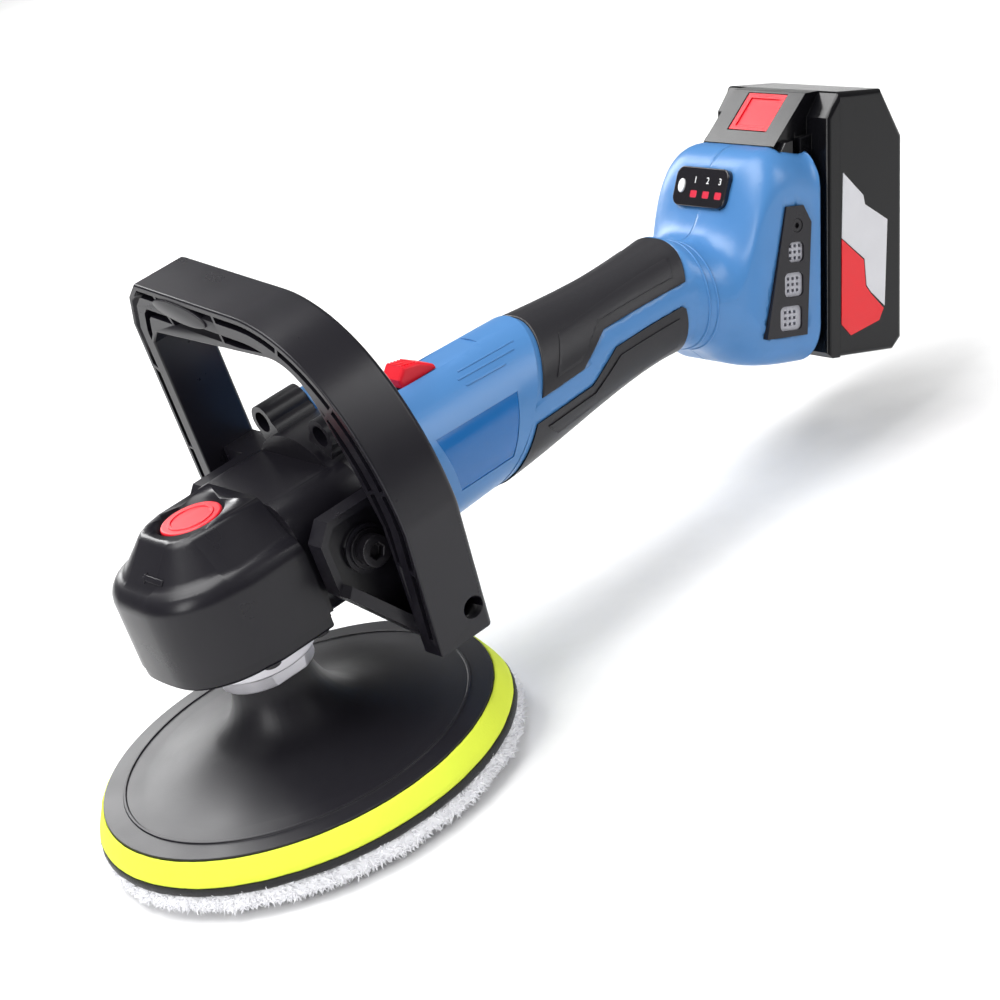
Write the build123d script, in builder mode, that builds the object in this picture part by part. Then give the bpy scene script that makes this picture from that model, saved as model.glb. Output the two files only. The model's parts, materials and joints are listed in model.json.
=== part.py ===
from build123d import *
import os
from math import atan2, cos, pi, radians, sin

# Cordless rotary polisher.
# Origin: middle of the polishing face, on the spindle axis. +Z runs up the spindle into the gear head,
# +Y runs back along the motor and the handle to the battery, +X is the operator's left.

# ---------------------------------------------------------------- driving dimensions (mm)
PAD_R = 90.0                 # 180 mm polishing pad
BONNET_TOP = 11.0            # wool bonnet, from the working face up
HOOK_TOP = 14.0
FOAM_TOP = 23.6
FOAM_TOP_R = 85.6
PLATE_R = 84.6               # rubber backing pad
PLATE_Z = 20.5
PLATE_TOP = 24.4
HUB_R = 17.5
HUB_TOP = 57.0

MOTOR_Z = 102.0              # height of the motor axis over the working face
HEAD_HALF = 40.0             # half width of the gear head
HEAD_FRONT = -44.0
HEAD_BACK = 16.0             # rear edge of the head cover
HEAD_BOTTOM = 75.0
HEAD_SEAM = 80.5             # joint between the retainer plate and the head cover
HEAD_SHOULDER = 117.0
HEAD_TOP = 131.0
COVER_WALL = 2.5

RING_TEETH = 36
PINION_TEETH = 9
GEAR_MODULE = 1.45           # at the large end of the bevel gears
FACE_WIDTH = 8.0

BARREL_FRONT = 70.0
BARREL_FRONT_R = 33.0
BARREL_REAR_R = 28.9
BORE_R = 25.2                # bore that holds the stator
SEAM_Y = 142.0               # slanting joint between motor housing and handle, at the motor axis
SEAM_TILT = 36.0             # degrees from vertical
WALL = 2.5
RUN = 0.05                   # radial running clearance of shafts in bearings
GAP = 0.35                   # gap between parts that move past each other

PACK_TILT = 22.0             # the battery leans back by this much
PACK_ORIGIN = (0, 288.0, 50.5)   # bottom front edge of the battery case
PACK_DEPTH = 44.5
PACK_LOW = -3.0              # underside of the battery
PACK_LENGTH = 113.0
PACK_HALF = 37.5
RAIL_DEPTH = 18.0
REAR_HALF = 37.5             # rear housing
REAR_LOW = -5.0
REAR_TOP = 90.0
REAR_END = -4.6

BAND_FRONT = 40.0            # D-handle band, along the tool
BAND_REAR = 67.0

TILT = radians(PACK_TILT)
PACK_N = (0, cos(TILT), -sin(TILT))      # out of the back of the tool
PACK_U = (0, sin(TILT), cos(TILT))       # the way the battery slides off
# Sketch plane of the battery seen from its left side: local x is PACK_N, local y is PACK_U, normal +X.
PACK_SIDE = Plane(origin=PACK_ORIGIN, x_dir=PACK_N, z_dir=(1, 0, 0))
SIDE = Plane(origin=(0, 0, 0), x_dir=(0, 1, 0), z_dir=(1, 0, 0))     # local x is +Y, local y is +Z
BACKWARD = Plane(origin=(0, 0, MOTOR_Z), x_dir=(-1, 0, 0), z_dir=(0, 1, 0))   # rings round the motor axis

SEAM_PLANE = Plane(
    origin=(0, SEAM_Y, MOTOR_Z),
    x_dir=(1, 0, 0),
    z_dir=(0, cos(radians(SEAM_TILT)), -sin(radians(SEAM_TILT))),
)

os.makedirs("parts", exist_ok=True)


def save(part, name):
    """Label a finished piece and write its STEP file."""
    part.label = name
    export_step(part, f"parts/{name}.step")


def pack_point(x, n, u):
    """A point of the battery's own frame, in the frame of the tool."""
    return Vector(*PACK_ORIGIN) + Vector(x, 0, 0) + Vector(*PACK_N) * n + Vector(*PACK_U) * u


def ring_z(r_out, r_in, z0, z1):
    """A plain ring round the spindle axis."""
    with BuildPart() as ring:
        with BuildSketch(Plane.XY.offset(z0)):
            Circle(r_out)
            if r_in > 0:
                Circle(r_in, mode=Mode.SUBTRACT)
        extrude(amount=z1 - z0)
    return ring.part


def ring_y(r_out, r_in, y0, y1):
    """A plain ring round the motor axis."""
    with BuildPart() as ring:
        with BuildSketch(BACKWARD.offset(y0)):
            Circle(r_out)
            if r_in > 0:
                Circle(r_in, mode=Mode.SUBTRACT)
        extrude(amount=y1 - y0)
    return ring.part


def box(x0, x1, y0, y1, z0, z1):
    """A block between two corners."""
    with BuildPart() as block:
        with BuildSketch(Plane.XY.offset(z0)):
            with Locations(((x0 + x1) / 2, (y0 + y1) / 2)):
                Rectangle(x1 - x0, y1 - y0)
        extrude(amount=z1 - z0)
    return block.part


def pack_block(x0, x1, n0, n1, u0, u1):
    """A block between two corners of the battery's own frame."""
    with BuildPart() as block:
        with BuildSketch(PACK_SIDE.offset(x0)):
            with Locations(((n0 + n1) / 2, (u0 + u1) / 2)):
                Rectangle(n1 - n0, u1 - u0)
        extrude(amount=x1 - x0)
    return block.part


def side_prism(points, x0, x1):
    """A prism with a polygon in the side view, between two widths."""
    with BuildPart() as prism:
        with BuildSketch(SIDE.offset(x0)):
            with BuildLine():
                Polyline(*points, close=True)
            make_face()
        extrude(amount=x1 - x0)
    return prism.part


def ball_bearing_z(r_out, r_in, z0, z1):
    """A shielded ball bearing round the spindle, with a groove between its races on each face."""
    middle = (r_out + r_in) / 2
    groove = (r_out - r_in) * 0.22
    with BuildPart() as bearing:
        add(ring_z(r_out, r_in, z0, z1))
        add(ring_z(middle + groove, middle - groove, z1 - 0.5, z1 + 1), mode=Mode.SUBTRACT)
        add(ring_z(middle + groove, middle - groove, z0 - 1, z0 + 0.5), mode=Mode.SUBTRACT)
    return bearing.part


def ball_bearing_y(r_out, r_in, y0, y1):
    """A shielded ball bearing round the motor shaft."""
    middle = (r_out + r_in) / 2
    groove = (r_out - r_in) * 0.22
    with BuildPart() as bearing:
        add(ring_y(r_out, r_in, y0, y1))
        add(ring_y(middle + groove, middle - groove, y1 - 0.5, y1 + 1), mode=Mode.SUBTRACT)
        add(ring_y(middle + groove, middle - groove, y0 - 1, y0 + 0.5), mode=Mode.SUBTRACT)
    return bearing.part


# ---------------------------------------------------------------- polishing pad
with BuildPart() as wool_bonnet:
    with BuildSketch(Plane.XZ):
        with BuildLine():
            Polyline((0, 0), (PAD_R - 3, 0))
            ThreePointArc((PAD_R - 3, 0), (PAD_R + 1.6, 5), (PAD_R - 0.5, BONNET_TOP - 0.4))
            Polyline((PAD_R - 0.5, BONNET_TOP - 0.4), (0, BONNET_TOP - 0.4), (0, 0))
        make_face()
    revolve(axis=Axis.Z)
save(wool_bonnet.part, "wool_bonnet")

with BuildPart() as hook_layer:
    with BuildSketch(Plane.XY.offset(BONNET_TOP - 0.4)):
        Circle(PAD_R + 0.4)
    extrude(amount=HOOK_TOP - BONNET_TOP + 0.4)
save(hook_layer.part, "hook_layer")

with BuildPart() as foam_layer:
    with BuildSketch(Plane.XZ):
        with BuildLine():
            Polyline(
                (0, HOOK_TOP),
                (PAD_R, HOOK_TOP),
                (FOAM_TOP_R, FOAM_TOP),
                (PLATE_R, FOAM_TOP),
                (PLATE_R, PLATE_Z),
                (0, PLATE_Z),
                close=True,
            )
        make_face()
    revolve(axis=Axis.Z)
save(foam_layer.part, "foam_layer")

INSERT_R = 12.5
INSERT_LOW = 27.0
SPINDLE_THREAD_R = 7.0
with BuildPart() as backing_pad:
    with BuildSketch(Plane.XZ):
        with BuildLine():
            Polyline((HUB_R, HUB_TOP), (0, HUB_TOP), (0, PLATE_Z), (PLATE_R, PLATE_Z), (PLATE_R, PLATE_TOP))
            rim = Line((PLATE_R, PLATE_TOP), (70, PLATE_TOP + 0.9))
            web = TangentArc((70, PLATE_TOP + 0.9), (33, 33.5), tangent=(-1, 0.03))
            TangentArc((33, 33.5), (HUB_R, HUB_TOP), tangent=web % 1)
        make_face()
    revolve(axis=Axis.Z)
    with BuildSketch(Plane.XY.offset(INSERT_LOW)):
        Circle(INSERT_R)
    extrude(amount=HUB_TOP, mode=Mode.SUBTRACT)
    with BuildSketch(Plane.XY.offset(PLATE_Z)):
        Circle(SPINDLE_THREAD_R + 1)
    extrude(amount=INSERT_LOW - PLATE_Z, mode=Mode.SUBTRACT)
    # a fine raised ring on the upper face of the rubber
    with BuildSketch(Plane.XY.offset(PLATE_TOP)):
        Circle(75.5)
        Circle(74.2, mode=Mode.SUBTRACT)
    extrude(amount=1.2)
save(backing_pad.part, "backing_pad")

with BuildPart() as pad_insert:
    with BuildSketch(Plane.XY.offset(INSERT_LOW)):
        Circle(INSERT_R)
        Circle(SPINDLE_THREAD_R + 0.02, mode=Mode.SUBTRACT)
    extrude(amount=HUB_TOP - INSERT_LOW)
save(pad_insert.part, "pad_insert")

FLANGE_R = 22.5
FLANGE_TOP = 74.2
with BuildPart() as spindle_flange:
    with BuildSketch(Plane.XZ):
        with BuildLine():
            Polyline(
                (SPINDLE_THREAD_R + 0.02, HUB_TOP),
                (20.0, HUB_TOP),
                (20.4, HUB_TOP + 5.5),
                (FLANGE_R, HUB_TOP + 6.3),
                (FLANGE_R, HUB_TOP + 12.0),
                (FLANGE_R - 1.2, HUB_TOP + 13.2),
                (16.5, HUB_TOP + 13.2),
                (16.5, FLANGE_TOP),
                (SPINDLE_THREAD_R + 0.02, FLANGE_TOP),
                close=True,
            )
        make_face()
    revolve(axis=Axis.Z)
    # two wrench flats on the lower tier
    with BuildSketch(Plane.XY.offset(HUB_TOP)):
        with Locations((-28.8, 0), (28.8, 0)):
            Rectangle(20, 50)
    extrude(amount=5.5, mode=Mode.SUBTRACT)
save(spindle_flange.part, "spindle_flange")

# ---------------------------------------------------------------- spindle and bevel gears
PITCH_RING = GEAR_MODULE * RING_TEETH / 2
PITCH_PINION = GEAR_MODULE * PINION_TEETH / 2
CONE = (PITCH_RING ** 2 + PITCH_PINION ** 2) ** 0.5      # outer cone distance, apex on both axes
TOOTH_HEAD = 1.15
TOOTH_ROOT = 1.75
SPINDLE_R = 6.0
SPINDLE_TOP = 119.0
LOCK_Y = -14.0               # the lock pin stands this far in front of the spindle
LOCK_R = 2.4
RING_WEB_TOP = 91.6

with BuildPart() as spindle:
    with BuildSketch(Plane.XZ):
        with BuildLine():
            Polyline(
                (0, 30),
                (SPINDLE_THREAD_R - 1, 30),
                (SPINDLE_THREAD_R, 31),
                (SPINDLE_THREAD_R, FLANGE_TOP),
                (SPINDLE_R, FLANGE_TOP),
                (SPINDLE_R, 108),
                (SPINDLE_R - 2, 108),
                (SPINDLE_R - 2, SPINDLE_TOP),
                (0, SPINDLE_TOP),
                close=True,
            )
        make_face()
    revolve(axis=Axis.Z)
save(spindle.part, "spindle")


def bevel_tooth(plane_at, slim):
    """One straight bevel tooth, lofted from its large end towards the apex of the pitch cone."""
    small = (CONE - FACE_WIDTH) / CONE
    with BuildPart() as tooth:
        for scale in (1.0, small):
            with BuildSketch(plane_at(scale)):
                width_root = GEAR_MODULE * pi / 2 * slim * 1.28 * scale
                width_head = GEAR_MODULE * pi / 2 * slim * 0.52 * scale
                low = -TOOTH_ROOT * scale - 0.5
                high = TOOTH_HEAD * scale
                with BuildLine():
                    Polyline(
                        (-width_root / 2, low),
                        (width_root / 2, low),
                        (width_head / 2, high),
                        (-width_head / 2, high),
                        close=True,
                    )
                make_face()
        loft(ruled=True)
    return tooth.part


def ring_tooth_plane(scale):
    """Section plane of a ring gear tooth: normal along the pitch cone, tooth standing up."""
    slope = atan2(PITCH_PINION, PITCH_RING)
    out = (0, cos(slope), -sin(slope))
    return Plane(origin=(0, PITCH_RING * scale, MOTOR_Z - PITCH_PINION * scale), x_dir=(1, 0, 0),
                 z_dir=(-out[0], -out[1], -out[2]))


def pinion_tooth_plane(scale):
    """Section plane of a pinion tooth above the shaft, tooth standing out."""
    slope = atan2(PITCH_PINION, PITCH_RING)
    out = (0, cos(slope), sin(slope))
    return Plane(origin=(0, PITCH_RING * scale, MOTOR_Z + PITCH_PINION * scale), x_dir=(1, 0, 0),
                 z_dir=(-out[0], -out[1], -out[2]))


ring_blank_slope = PITCH_PINION / PITCH_RING
ring_tooth = bevel_tooth(ring_tooth_plane, 0.80)
with BuildPart() as ring_gear:
    inner = PITCH_RING - FACE_WIDTH
    with BuildSketch(Plane.XZ):
        with BuildLine():
            Polyline(
                (SPINDLE_R + 0.02, 87.0),
                (PITCH_RING + 0.6, 87.0),
                (PITCH_RING + 0.2, MOTOR_Z - PITCH_PINION - TOOTH_ROOT - 0.1),
                (inner, MOTOR_Z - inner * ring_blank_slope - TOOTH_ROOT * inner / PITCH_RING - 0.1),
                (inner - 1.0, RING_WEB_TOP),
                (SPINDLE_R + 0.02, RING_WEB_TOP),
                close=True,
            )
        make_face()
    revolve(axis=Axis.Z)
    for index in range(RING_TEETH):
        # a tooth gap faces the middle tooth of the pinion
        add(ring_tooth.rotate(Axis.Z, 180 + (index + 0.5) * 360 / RING_TEETH))
    with BuildSketch(Plane.XY.offset(86)):
        with PolarLocations(-LOCK_Y, 4, start_angle=90):
            Circle(LOCK_R + 0.5)
    extrude(amount=10, mode=Mode.SUBTRACT)
save(ring_gear.part, "ring_gear")

SHAFT_R = 4.0
PINION_BACK = PITCH_RING + 1.5
pinion_tooth = bevel_tooth(pinion_tooth_plane, 0.80)
motor_axis = Axis((0, 0, MOTOR_Z), (0, 1, 0))
with BuildPart() as pinion:
    root_outer = PITCH_PINION - TOOTH_ROOT - 0.05
    root_inner = root_outer * (PITCH_RING - FACE_WIDTH) / PITCH_RING
    with BuildSketch(SIDE):
        with BuildLine():
            Polyline(
                (PITCH_RING - FACE_WIDTH, MOTOR_Z + 2.02),
                (PITCH_RING - FACE_WIDTH, MOTOR_Z + root_inner),
                (PITCH_RING + 0.2, MOTOR_Z + root_outer),
                (PITCH_RING + 0.2, MOTOR_Z + 6.3),
                (PINION_BACK + 3, MOTOR_Z + 6.3),
                (PINION_BACK + 3, MOTOR_Z + 2.02),
                close=True,
            )
        make_face()
    revolve(axis=motor_axis)
    for index in range(PINION_TEETH):
        # the tooth at the bottom of the pinion stands in a gap of the ring gear
        add(pinion_tooth.rotate(motor_axis, 180 + index * 360 / PINION_TEETH))
save(pinion.part, "pinion")

save(ball_bearing_z(16.0, SPINDLE_R + RUN, 76.0, 86.0), "lower_spindle_bearing")
save(ball_bearing_z(9.5, SPINDLE_R - 2 + RUN, 110.0, 116.0), "upper_spindle_bearing")

# ---------------------------------------------------------------- gear head
CASE_BACK = 69.6             # flange face against the motor housing
CASE_R = 36.5                # round neck of the gear case


def head_outline(inset, back):
    """Outline of the gear head from above: square at the back, rounded off at the front."""
    half = HEAD_HALF - inset
    front = HEAD_FRONT + inset
    with BuildSketch() as outline:
        with BuildLine():
            Polyline((-half, back), (-half, -9), (-half + 2, -16))
            ThreePointArc((-half + 2, -16), (-27 + inset * 0.6, -36.5 + inset * 0.8), (-10, front + 0.4))
            ThreePointArc((-10, front + 0.4), (0, front), (10, front + 0.4))
            ThreePointArc((10, front + 0.4), (27 - inset * 0.6, -36.5 + inset * 0.8), (half - 2, -16))
            Polyline((half - 2, -16), (half, -9), (half, back), (-half, back))
        make_face()
    return outline.sketch


DOME_SLOPE = 0.92            # inward run of the dome for each mm of height


def head_block(inset, back, z0, shoulder, top, rim):
    """The domed head: straight sides, a rounded shoulder, then a dome that slopes up to its flat top."""
    dome = shoulder + 0.6
    low_dome = inset + 8
    high_dome = low_dome + DOME_SLOPE * (top - rim - dome)
    sections = [
        (inset, z0),
        (inset, shoulder - 8),
        (inset + 0.4, shoulder - 5.8),
        (inset + 1.3, shoulder - 3.8),
        (inset + 2.8, shoulder - 2.0),
        (inset + 4.9, shoulder - 0.6),
        (low_dome, dome),
        (high_dome, top - rim),
        (high_dome + 1.6 * rim, top),
    ]
    with BuildPart() as block:
        for amount, z in sections:
            with BuildSketch(Plane.XY.offset(z)):
                add(head_outline(amount, back))
        loft(ruled=True)
    return block.part


LOCK_CAP_R = 13.0
LOCK_WELL_R = 14.6
LOCK_WELL_Z = 124.0
LOCK_CENTRE_Y = -5.0

with BuildPart() as head_cover:
    add(head_block(0, HEAD_BACK, HEAD_SEAM, HEAD_SHOULDER, HEAD_TOP, 1.4))
    add(
        head_block(COVER_WALL, HEAD_BACK + 5, HEAD_SEAM - 5, HEAD_SHOULDER - COVER_WALL, 122.6, 0.5),
        mode=Mode.SUBTRACT,
    )
    # well for the spindle lock button, open at the front rim
    with BuildSketch(Plane.XY.offset(LOCK_WELL_Z)):
        with Locations((0, LOCK_CENTRE_Y)):
            Circle(LOCK_WELL_R)
    extrude(amount=20, mode=Mode.SUBTRACT)
    with BuildSketch(Plane.XY.offset(118)):
        with Locations((0, LOCK_Y)):
            Circle(LOCK_R + 2.6)
    extrude(amount=10, mode=Mode.SUBTRACT)
save(head_cover.part, "head_cover")

RETAINER_SCREWS = [(-32.5, -12), (32.5, -12), (-33, 12), (33, 12)]
with BuildPart() as bearing_retainer:
    with BuildSketch(Plane.XY.offset(HEAD_BOTTOM)):
        add(head_outline(0.6, HEAD_BACK))
        Circle(SPINDLE_THREAD_R + 1.2, mode=Mode.SUBTRACT)
    extrude(amount=HEAD_SEAM - HEAD_BOTTOM)
    low = bearing_retainer.faces().sort_by(Axis.Z)[0].outer_wire().edges()
    chamfer([e for e in low if e.center().Y < HEAD_BACK], length=1.5)
    with BuildSketch(Plane.XY.offset(76.0)):
        Circle(16.0)
    extrude(amount=10, mode=Mode.SUBTRACT)
    with Locations(*[(x, y, HEAD_SEAM) for x, y in RETAINER_SCREWS]):
        Hole(2.2, depth=HEAD_SEAM - HEAD_BOTTOM)
save(bearing_retainer.part, "bearing_retainer")

RETAINER_SCREW_LENGTH = 10.0
with BuildPart() as retainer_screws:
    for x, y in RETAINER_SCREWS:
        with BuildSketch(Plane.XY.offset(HEAD_BOTTOM)):
            with Locations((x, y)):
                Circle(2.15)
        extrude(amount=RETAINER_SCREW_LENGTH)
        with BuildSketch(Plane.XY.offset(HEAD_BOTTOM - 1.8)):
            with Locations((x, y)):
                Circle(3.8)
                RegularPolygon(1.6, 6, mode=Mode.SUBTRACT)
        extrude(amount=1.8)
save(retainer_screws.part, "retainer_screws")

EAR_BOLT_Y = 37.0
EAR_BOLT_Z = 101.0
EAR_INNER_X = 42.0
BOLT_R = 4.0
CASE_SCREW_RING = 43.5
CASE_SCREW_ANGLE = 60.0
CASE_SCREWS = [
    (sx * CASE_SCREW_RING * cos(radians(CASE_SCREW_ANGLE)), sz * CASE_SCREW_RING * sin(radians(CASE_SCREW_ANGLE)))
    for sx in (-1, 1)
    for sz in (-1, 1)
]
FRONT_BEARING = (44.0, 51.0)

with BuildPart() as gear_case:
    add(head_block(COVER_WALL + 0.15, HEAD_BACK + 3, HEAD_SEAM, HEAD_SHOULDER - COVER_WALL - 0.2, 122.3, 0.5))
    # square middle of the casting, behind the cover
    with BuildSketch(BACKWARD.offset(HEAD_BACK + 0.1)):
        with Locations((0, 0)):
            RectangleRounded(75, 53, 15)
    extrude(amount=52 - HEAD_BACK)
    # round neck and the screw bosses of the motor flange
    with BuildSketch(BACKWARD.offset(46)):
        Circle(CASE_R)
    extrude(amount=CASE_BACK - 46)
    for x, z in CASE_SCREWS:
        with BuildSketch(BACKWARD.offset(50)):
            with Locations((x, z), (x * 0.86, z * 0.86)):
                Circle(7.2)
        extrude(amount=CASE_BACK - 50)
    # bolt bosses for the handle, one each side
    with BuildSketch(Plane.YZ.offset(-EAR_INNER_X)):
        with Locations((EAR_BOLT_Y, EAR_BOLT_Z)):
            Circle(9.5)
    extrude(amount=2 * EAR_INNER_X)
    # gear chamber, pinion tunnel, bearing seats and the bowl for the fan air
    add(ring_z(PITCH_RING + 2.4, 0, HEAD_SEAM - 1, 103.0), mode=Mode.SUBTRACT)
    add(ring_z(8.5, 0, 102.0, 110.0), mode=Mode.SUBTRACT)
    add(ring_z(9.5, 0, 110.0, 116.0), mode=Mode.SUBTRACT)
    add(ring_z(SPINDLE_R - 1, 0, 116.0, SPINDLE_TOP + 0.6), mode=Mode.SUBTRACT)
    add(ring_y(9.5, 0, 4, FRONT_BEARING[0]), mode=Mode.SUBTRACT)
    add(ring_y(11.0, 0, FRONT_BEARING[0] - 0.01, CASE_BACK + 1), mode=Mode.SUBTRACT)
    add(ring_y(29.5, 0, 57, CASE_BACK + 1), mode=Mode.SUBTRACT)
    # lock pin bore and its spring pocket
    with BuildSketch(Plane.XY.offset(96)):
        with Locations((0, LOCK_Y)):
            Circle(LOCK_R + 0.2)
    extrude(amount=40, mode=Mode.SUBTRACT)
    with BuildSketch(Plane.XY.offset(113.5)):
        with Locations((0, LOCK_Y)):
            Circle(LOCK_R + 3.2)
    extrude(amount=40, mode=Mode.SUBTRACT)
    with Locations(*[(x, y, HEAD_BOTTOM + RETAINER_SCREW_LENGTH + 1) for x, y in RETAINER_SCREWS]):
        Hole(2.2, depth=RETAINER_SCREW_LENGTH)
    # threaded holes of the handle bolts
    for side in (-1, 1):
        with BuildSketch(Plane.YZ.offset(side * EAR_INNER_X)):
            with Locations((EAR_BOLT_Y, EAR_BOLT_Z)):
                Circle(BOLT_R + 0.02)
        extrude(amount=-side * 14, mode=Mode.SUBTRACT)
    # screw holes of the motor flange, with flat-bottomed pockets for the heads
    for x, z in CASE_SCREWS:
        with BuildSketch(BACKWARD.offset(40)):
            with Locations((x, z)):
                Circle(2.3)
        extrude(amount=40, mode=Mode.SUBTRACT)
        with BuildSketch(BACKWARD.offset(40)):
            with Locations((x, z)):
                Circle(4.6)
        extrude(amount=19.5, mode=Mode.SUBTRACT)
save(gear_case.part, "gear_case")

with BuildPart() as case_screws:
    for x, z in CASE_SCREWS:
        with BuildSketch(BACKWARD.offset(59.5)):
            with Locations((x, z)):
                Circle(2.25)
        extrude(amount=22)
        with BuildSketch(BACKWARD.offset(55.7)):
            with Locations((x, z)):
                Circle(4.2)
                RegularPolygon(2.0, 6, mode=Mode.SUBTRACT)
        extrude(amount=3.8)
save(case_screws.part, "case_screws")

LOCK_TRAVEL = 4.0
LOCK_CAP_LOW = 128.4
with BuildPart() as lock_button:
    with BuildSketch(Plane.XY.offset(LOCK_CAP_LOW)):
        with Locations((0, LOCK_CENTRE_Y)):
            Circle(LOCK_CAP_R)
    extrude(amount=2.2)
    top = lock_button.faces().sort_by(Axis.Z)[-1].edges()
    fillet(top, radius=0.9)
    with BuildSketch(Plane.XY.offset(LOCK_CAP_LOW)):
        with Locations((0, LOCK_CENTRE_Y)):
            Circle(LOCK_CAP_R - 3.2)
            Circle(LOCK_CAP_R - 4.6, mode=Mode.SUBTRACT)
    extrude(amount=2.6)
save(lock_button.part, "lock_button")

with BuildPart() as lock_pin:
    with BuildSketch(Plane.XY.offset(93.2)):
        with Locations((0, LOCK_Y)):
            Circle(LOCK_R)
    extrude(amount=LOCK_CAP_LOW - 93.2)
    chamfer(lock_pin.edges().sort_by(Axis.Z)[0], length=0.8)
    # collar that the spring pushes on
    with BuildSketch(Plane.XY.offset(LOCK_CAP_LOW - 1.4)):
        with Locations((0, LOCK_Y)):
            Circle(LOCK_R + 2.0)
    extrude(amount=1.4)
save(lock_pin.part, "lock_pin")


def coil_spring(start, direction, radius, wire, height, turns):
    """A round-wire coil spring standing on a plane."""
    with BuildPart() as coil:
        with BuildLine():
            path = Helix(pitch=height / turns, height=height, radius=radius, center=start, direction=direction)
        with BuildSketch(Plane(origin=path @ 0, z_dir=path % 0)):
            Circle(wire / 2)
        sweep(is_frenet=True)
    return coil.part


LOCK_SPRING_LOW = 114.2
save(coil_spring((0, LOCK_Y, LOCK_SPRING_LOW), (0, 0, 1), LOCK_R + 1.3, 0.8,
                 LOCK_CAP_LOW - 2.0 - LOCK_SPRING_LOW, 6), "lock_spring")

# ---------------------------------------------------------------- motor
STATOR = (92.0, 122.0)
STATOR_R = BORE_R - 0.05
STATOR_BORE = 14.6
ROTOR_R = 12.4
MAGNET_R = 14.0
FAN = (74.0, 82.0)
REAR_BEARING = (138.0, 145.0)

with BuildPart() as rotor_shaft:
    with BuildSketch(SIDE):
        with BuildLine():
            Polyline(
                (PITCH_RING - FACE_WIDTH, MOTOR_Z),
                (PITCH_RING - FACE_WIDTH, MOTOR_Z + 2.0),
                (PINION_BACK + 3, MOTOR_Z + 2.0),
                (PINION_BACK + 3, MOTOR_Z + SHAFT_R),
                (REAR_BEARING[0] - 1, MOTOR_Z + SHAFT_R),
                (REAR_BEARING[0] - 1, MOTOR_Z + 3.5),
                (REAR_BEARING[1] + 2, MOTOR_Z + 3.5),
                (REAR_BEARING[1] + 2, MOTOR_Z),
                close=True,
            )
        make_face()
    revolve(axis=motor_axis)
save(rotor_shaft.part, "rotor_shaft")

save(ball_bearing_y(11.0, SHAFT_R + RUN, *FRONT_BEARING), "front_motor_bearing")
save(ball_bearing_y(11.0, 3.5 + RUN, *REAR_BEARING), "rear_motor_bearing")
save(ring_y(ROTOR_R, SHAFT_R, STATOR[0], STATOR[1]), "rotor_core")

with BuildPart() as rotor_magnets:
    add(ring_y(MAGNET_R, ROTOR_R, STATOR[0] + 0.5, STATOR[1] - 0.5))
    for index in range(4):
        add(box(-0.6, 0.6, STATOR[0], STATOR[1], MOTOR_Z, MOTOR_Z + 20).rotate(motor_axis, index * 90),
            mode=Mode.SUBTRACT)
save(rotor_magnets.part, "rotor_magnets")

FAN_BLADES = 11
with BuildPart() as cooling_fan:
    add(ring_y(8.0, SHAFT_R, FAN[0], FAN[1]))
    add(ring_y(25.5, 8.0, FAN[1] - 1.5, FAN[1]))
    with BuildSketch(BACKWARD.offset(FAN[0])):
        with PolarLocations(16.2, FAN_BLADES):
            Rectangle(17.5, 1.3, rotation=24)
    extrude(amount=FAN[1] - FAN[0] - 0.5)
save(cooling_fan.part, "cooling_fan")

TEETH = 6
with BuildPart() as stator_core:
    with BuildSketch(BACKWARD.offset(STATOR[0])):
        Circle(STATOR_R)
        Circle(STATOR_R - 3.2, mode=Mode.SUBTRACT)
        with PolarLocations(19, TEETH):
            Rectangle(8, 5.0)
        with BuildSketch(mode=Mode.PRIVATE) as shoes:
            Circle(STATOR_BORE + 1.8)
            Circle(STATOR_BORE, mode=Mode.SUBTRACT)
            with PolarLocations(STATOR_BORE + 1, TEETH, start_angle=30):
                Rectangle(6, 2.6, mode=Mode.SUBTRACT)
        add(shoes.sketch)
    extrude(amount=STATOR[1] - STATOR[0])
save(stator_core.part, "stator_core")

with BuildPart() as stator_windings:
    for index in range(TEETH):
        coil = box(-4.8, 4.8, STATOR[0] - 4.5, STATOR[1] + 4.5, MOTOR_Z + 17.2, MOTOR_Z + 21.4)
        core = box(-2.6, 2.6, STATOR[0] - 1.2, STATOR[1] + 1.2, MOTOR_Z + 17.0, MOTOR_Z + 22.0)
        add((coil - core).rotate(motor_axis, index * 360 / TEETH))
save(stator_windings.part, "stator_windings")

with BuildPart() as motor_bracket:
    add(ring_y(BORE_R - 0.1, 11.0, 136.5, 146.5))
    add(ring_y(BORE_R - 4, 14.5, 135, 141.5), mode=Mode.SUBTRACT)
    add(ring_y(12.0, 5.0, 145.0, 146.5))
    with BuildSketch(BACKWARD.offset(130)):
        with PolarLocations(18, 4, start_angle=45):
            Circle(2.4)
    extrude(amount=30, mode=Mode.SUBTRACT)
    # notch that the switch link slides through
    add(box(-3.4, 3.4, 130, 150, MOTOR_Z + 19.6, MOTOR_Z + 30), mode=Mode.SUBTRACT)
save(motor_bracket.part, "motor_bracket")

# ---------------------------------------------------------------- motor housing
SWITCH_HALF = 7.0
SWITCH_FRONT = 100.0
SWITCH_REAR = 118.0
SWITCH_TRAVEL = 7.0
STEM_FRONT = 106.0           # front of the stem under the switch knob
barrel_slope = (BARREL_FRONT_R - BARREL_REAR_R) / 95.0


def barrel_r(y):
    """Outer radius of the motor housing at a distance along the tool."""
    return BARREL_FRONT_R - (y - BARREL_FRONT) * barrel_slope


SIDE_PANEL = [(93.5, 114.5), (138.0, 112.5), (126.0, 88.0), (96.5, 89.0)]


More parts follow.
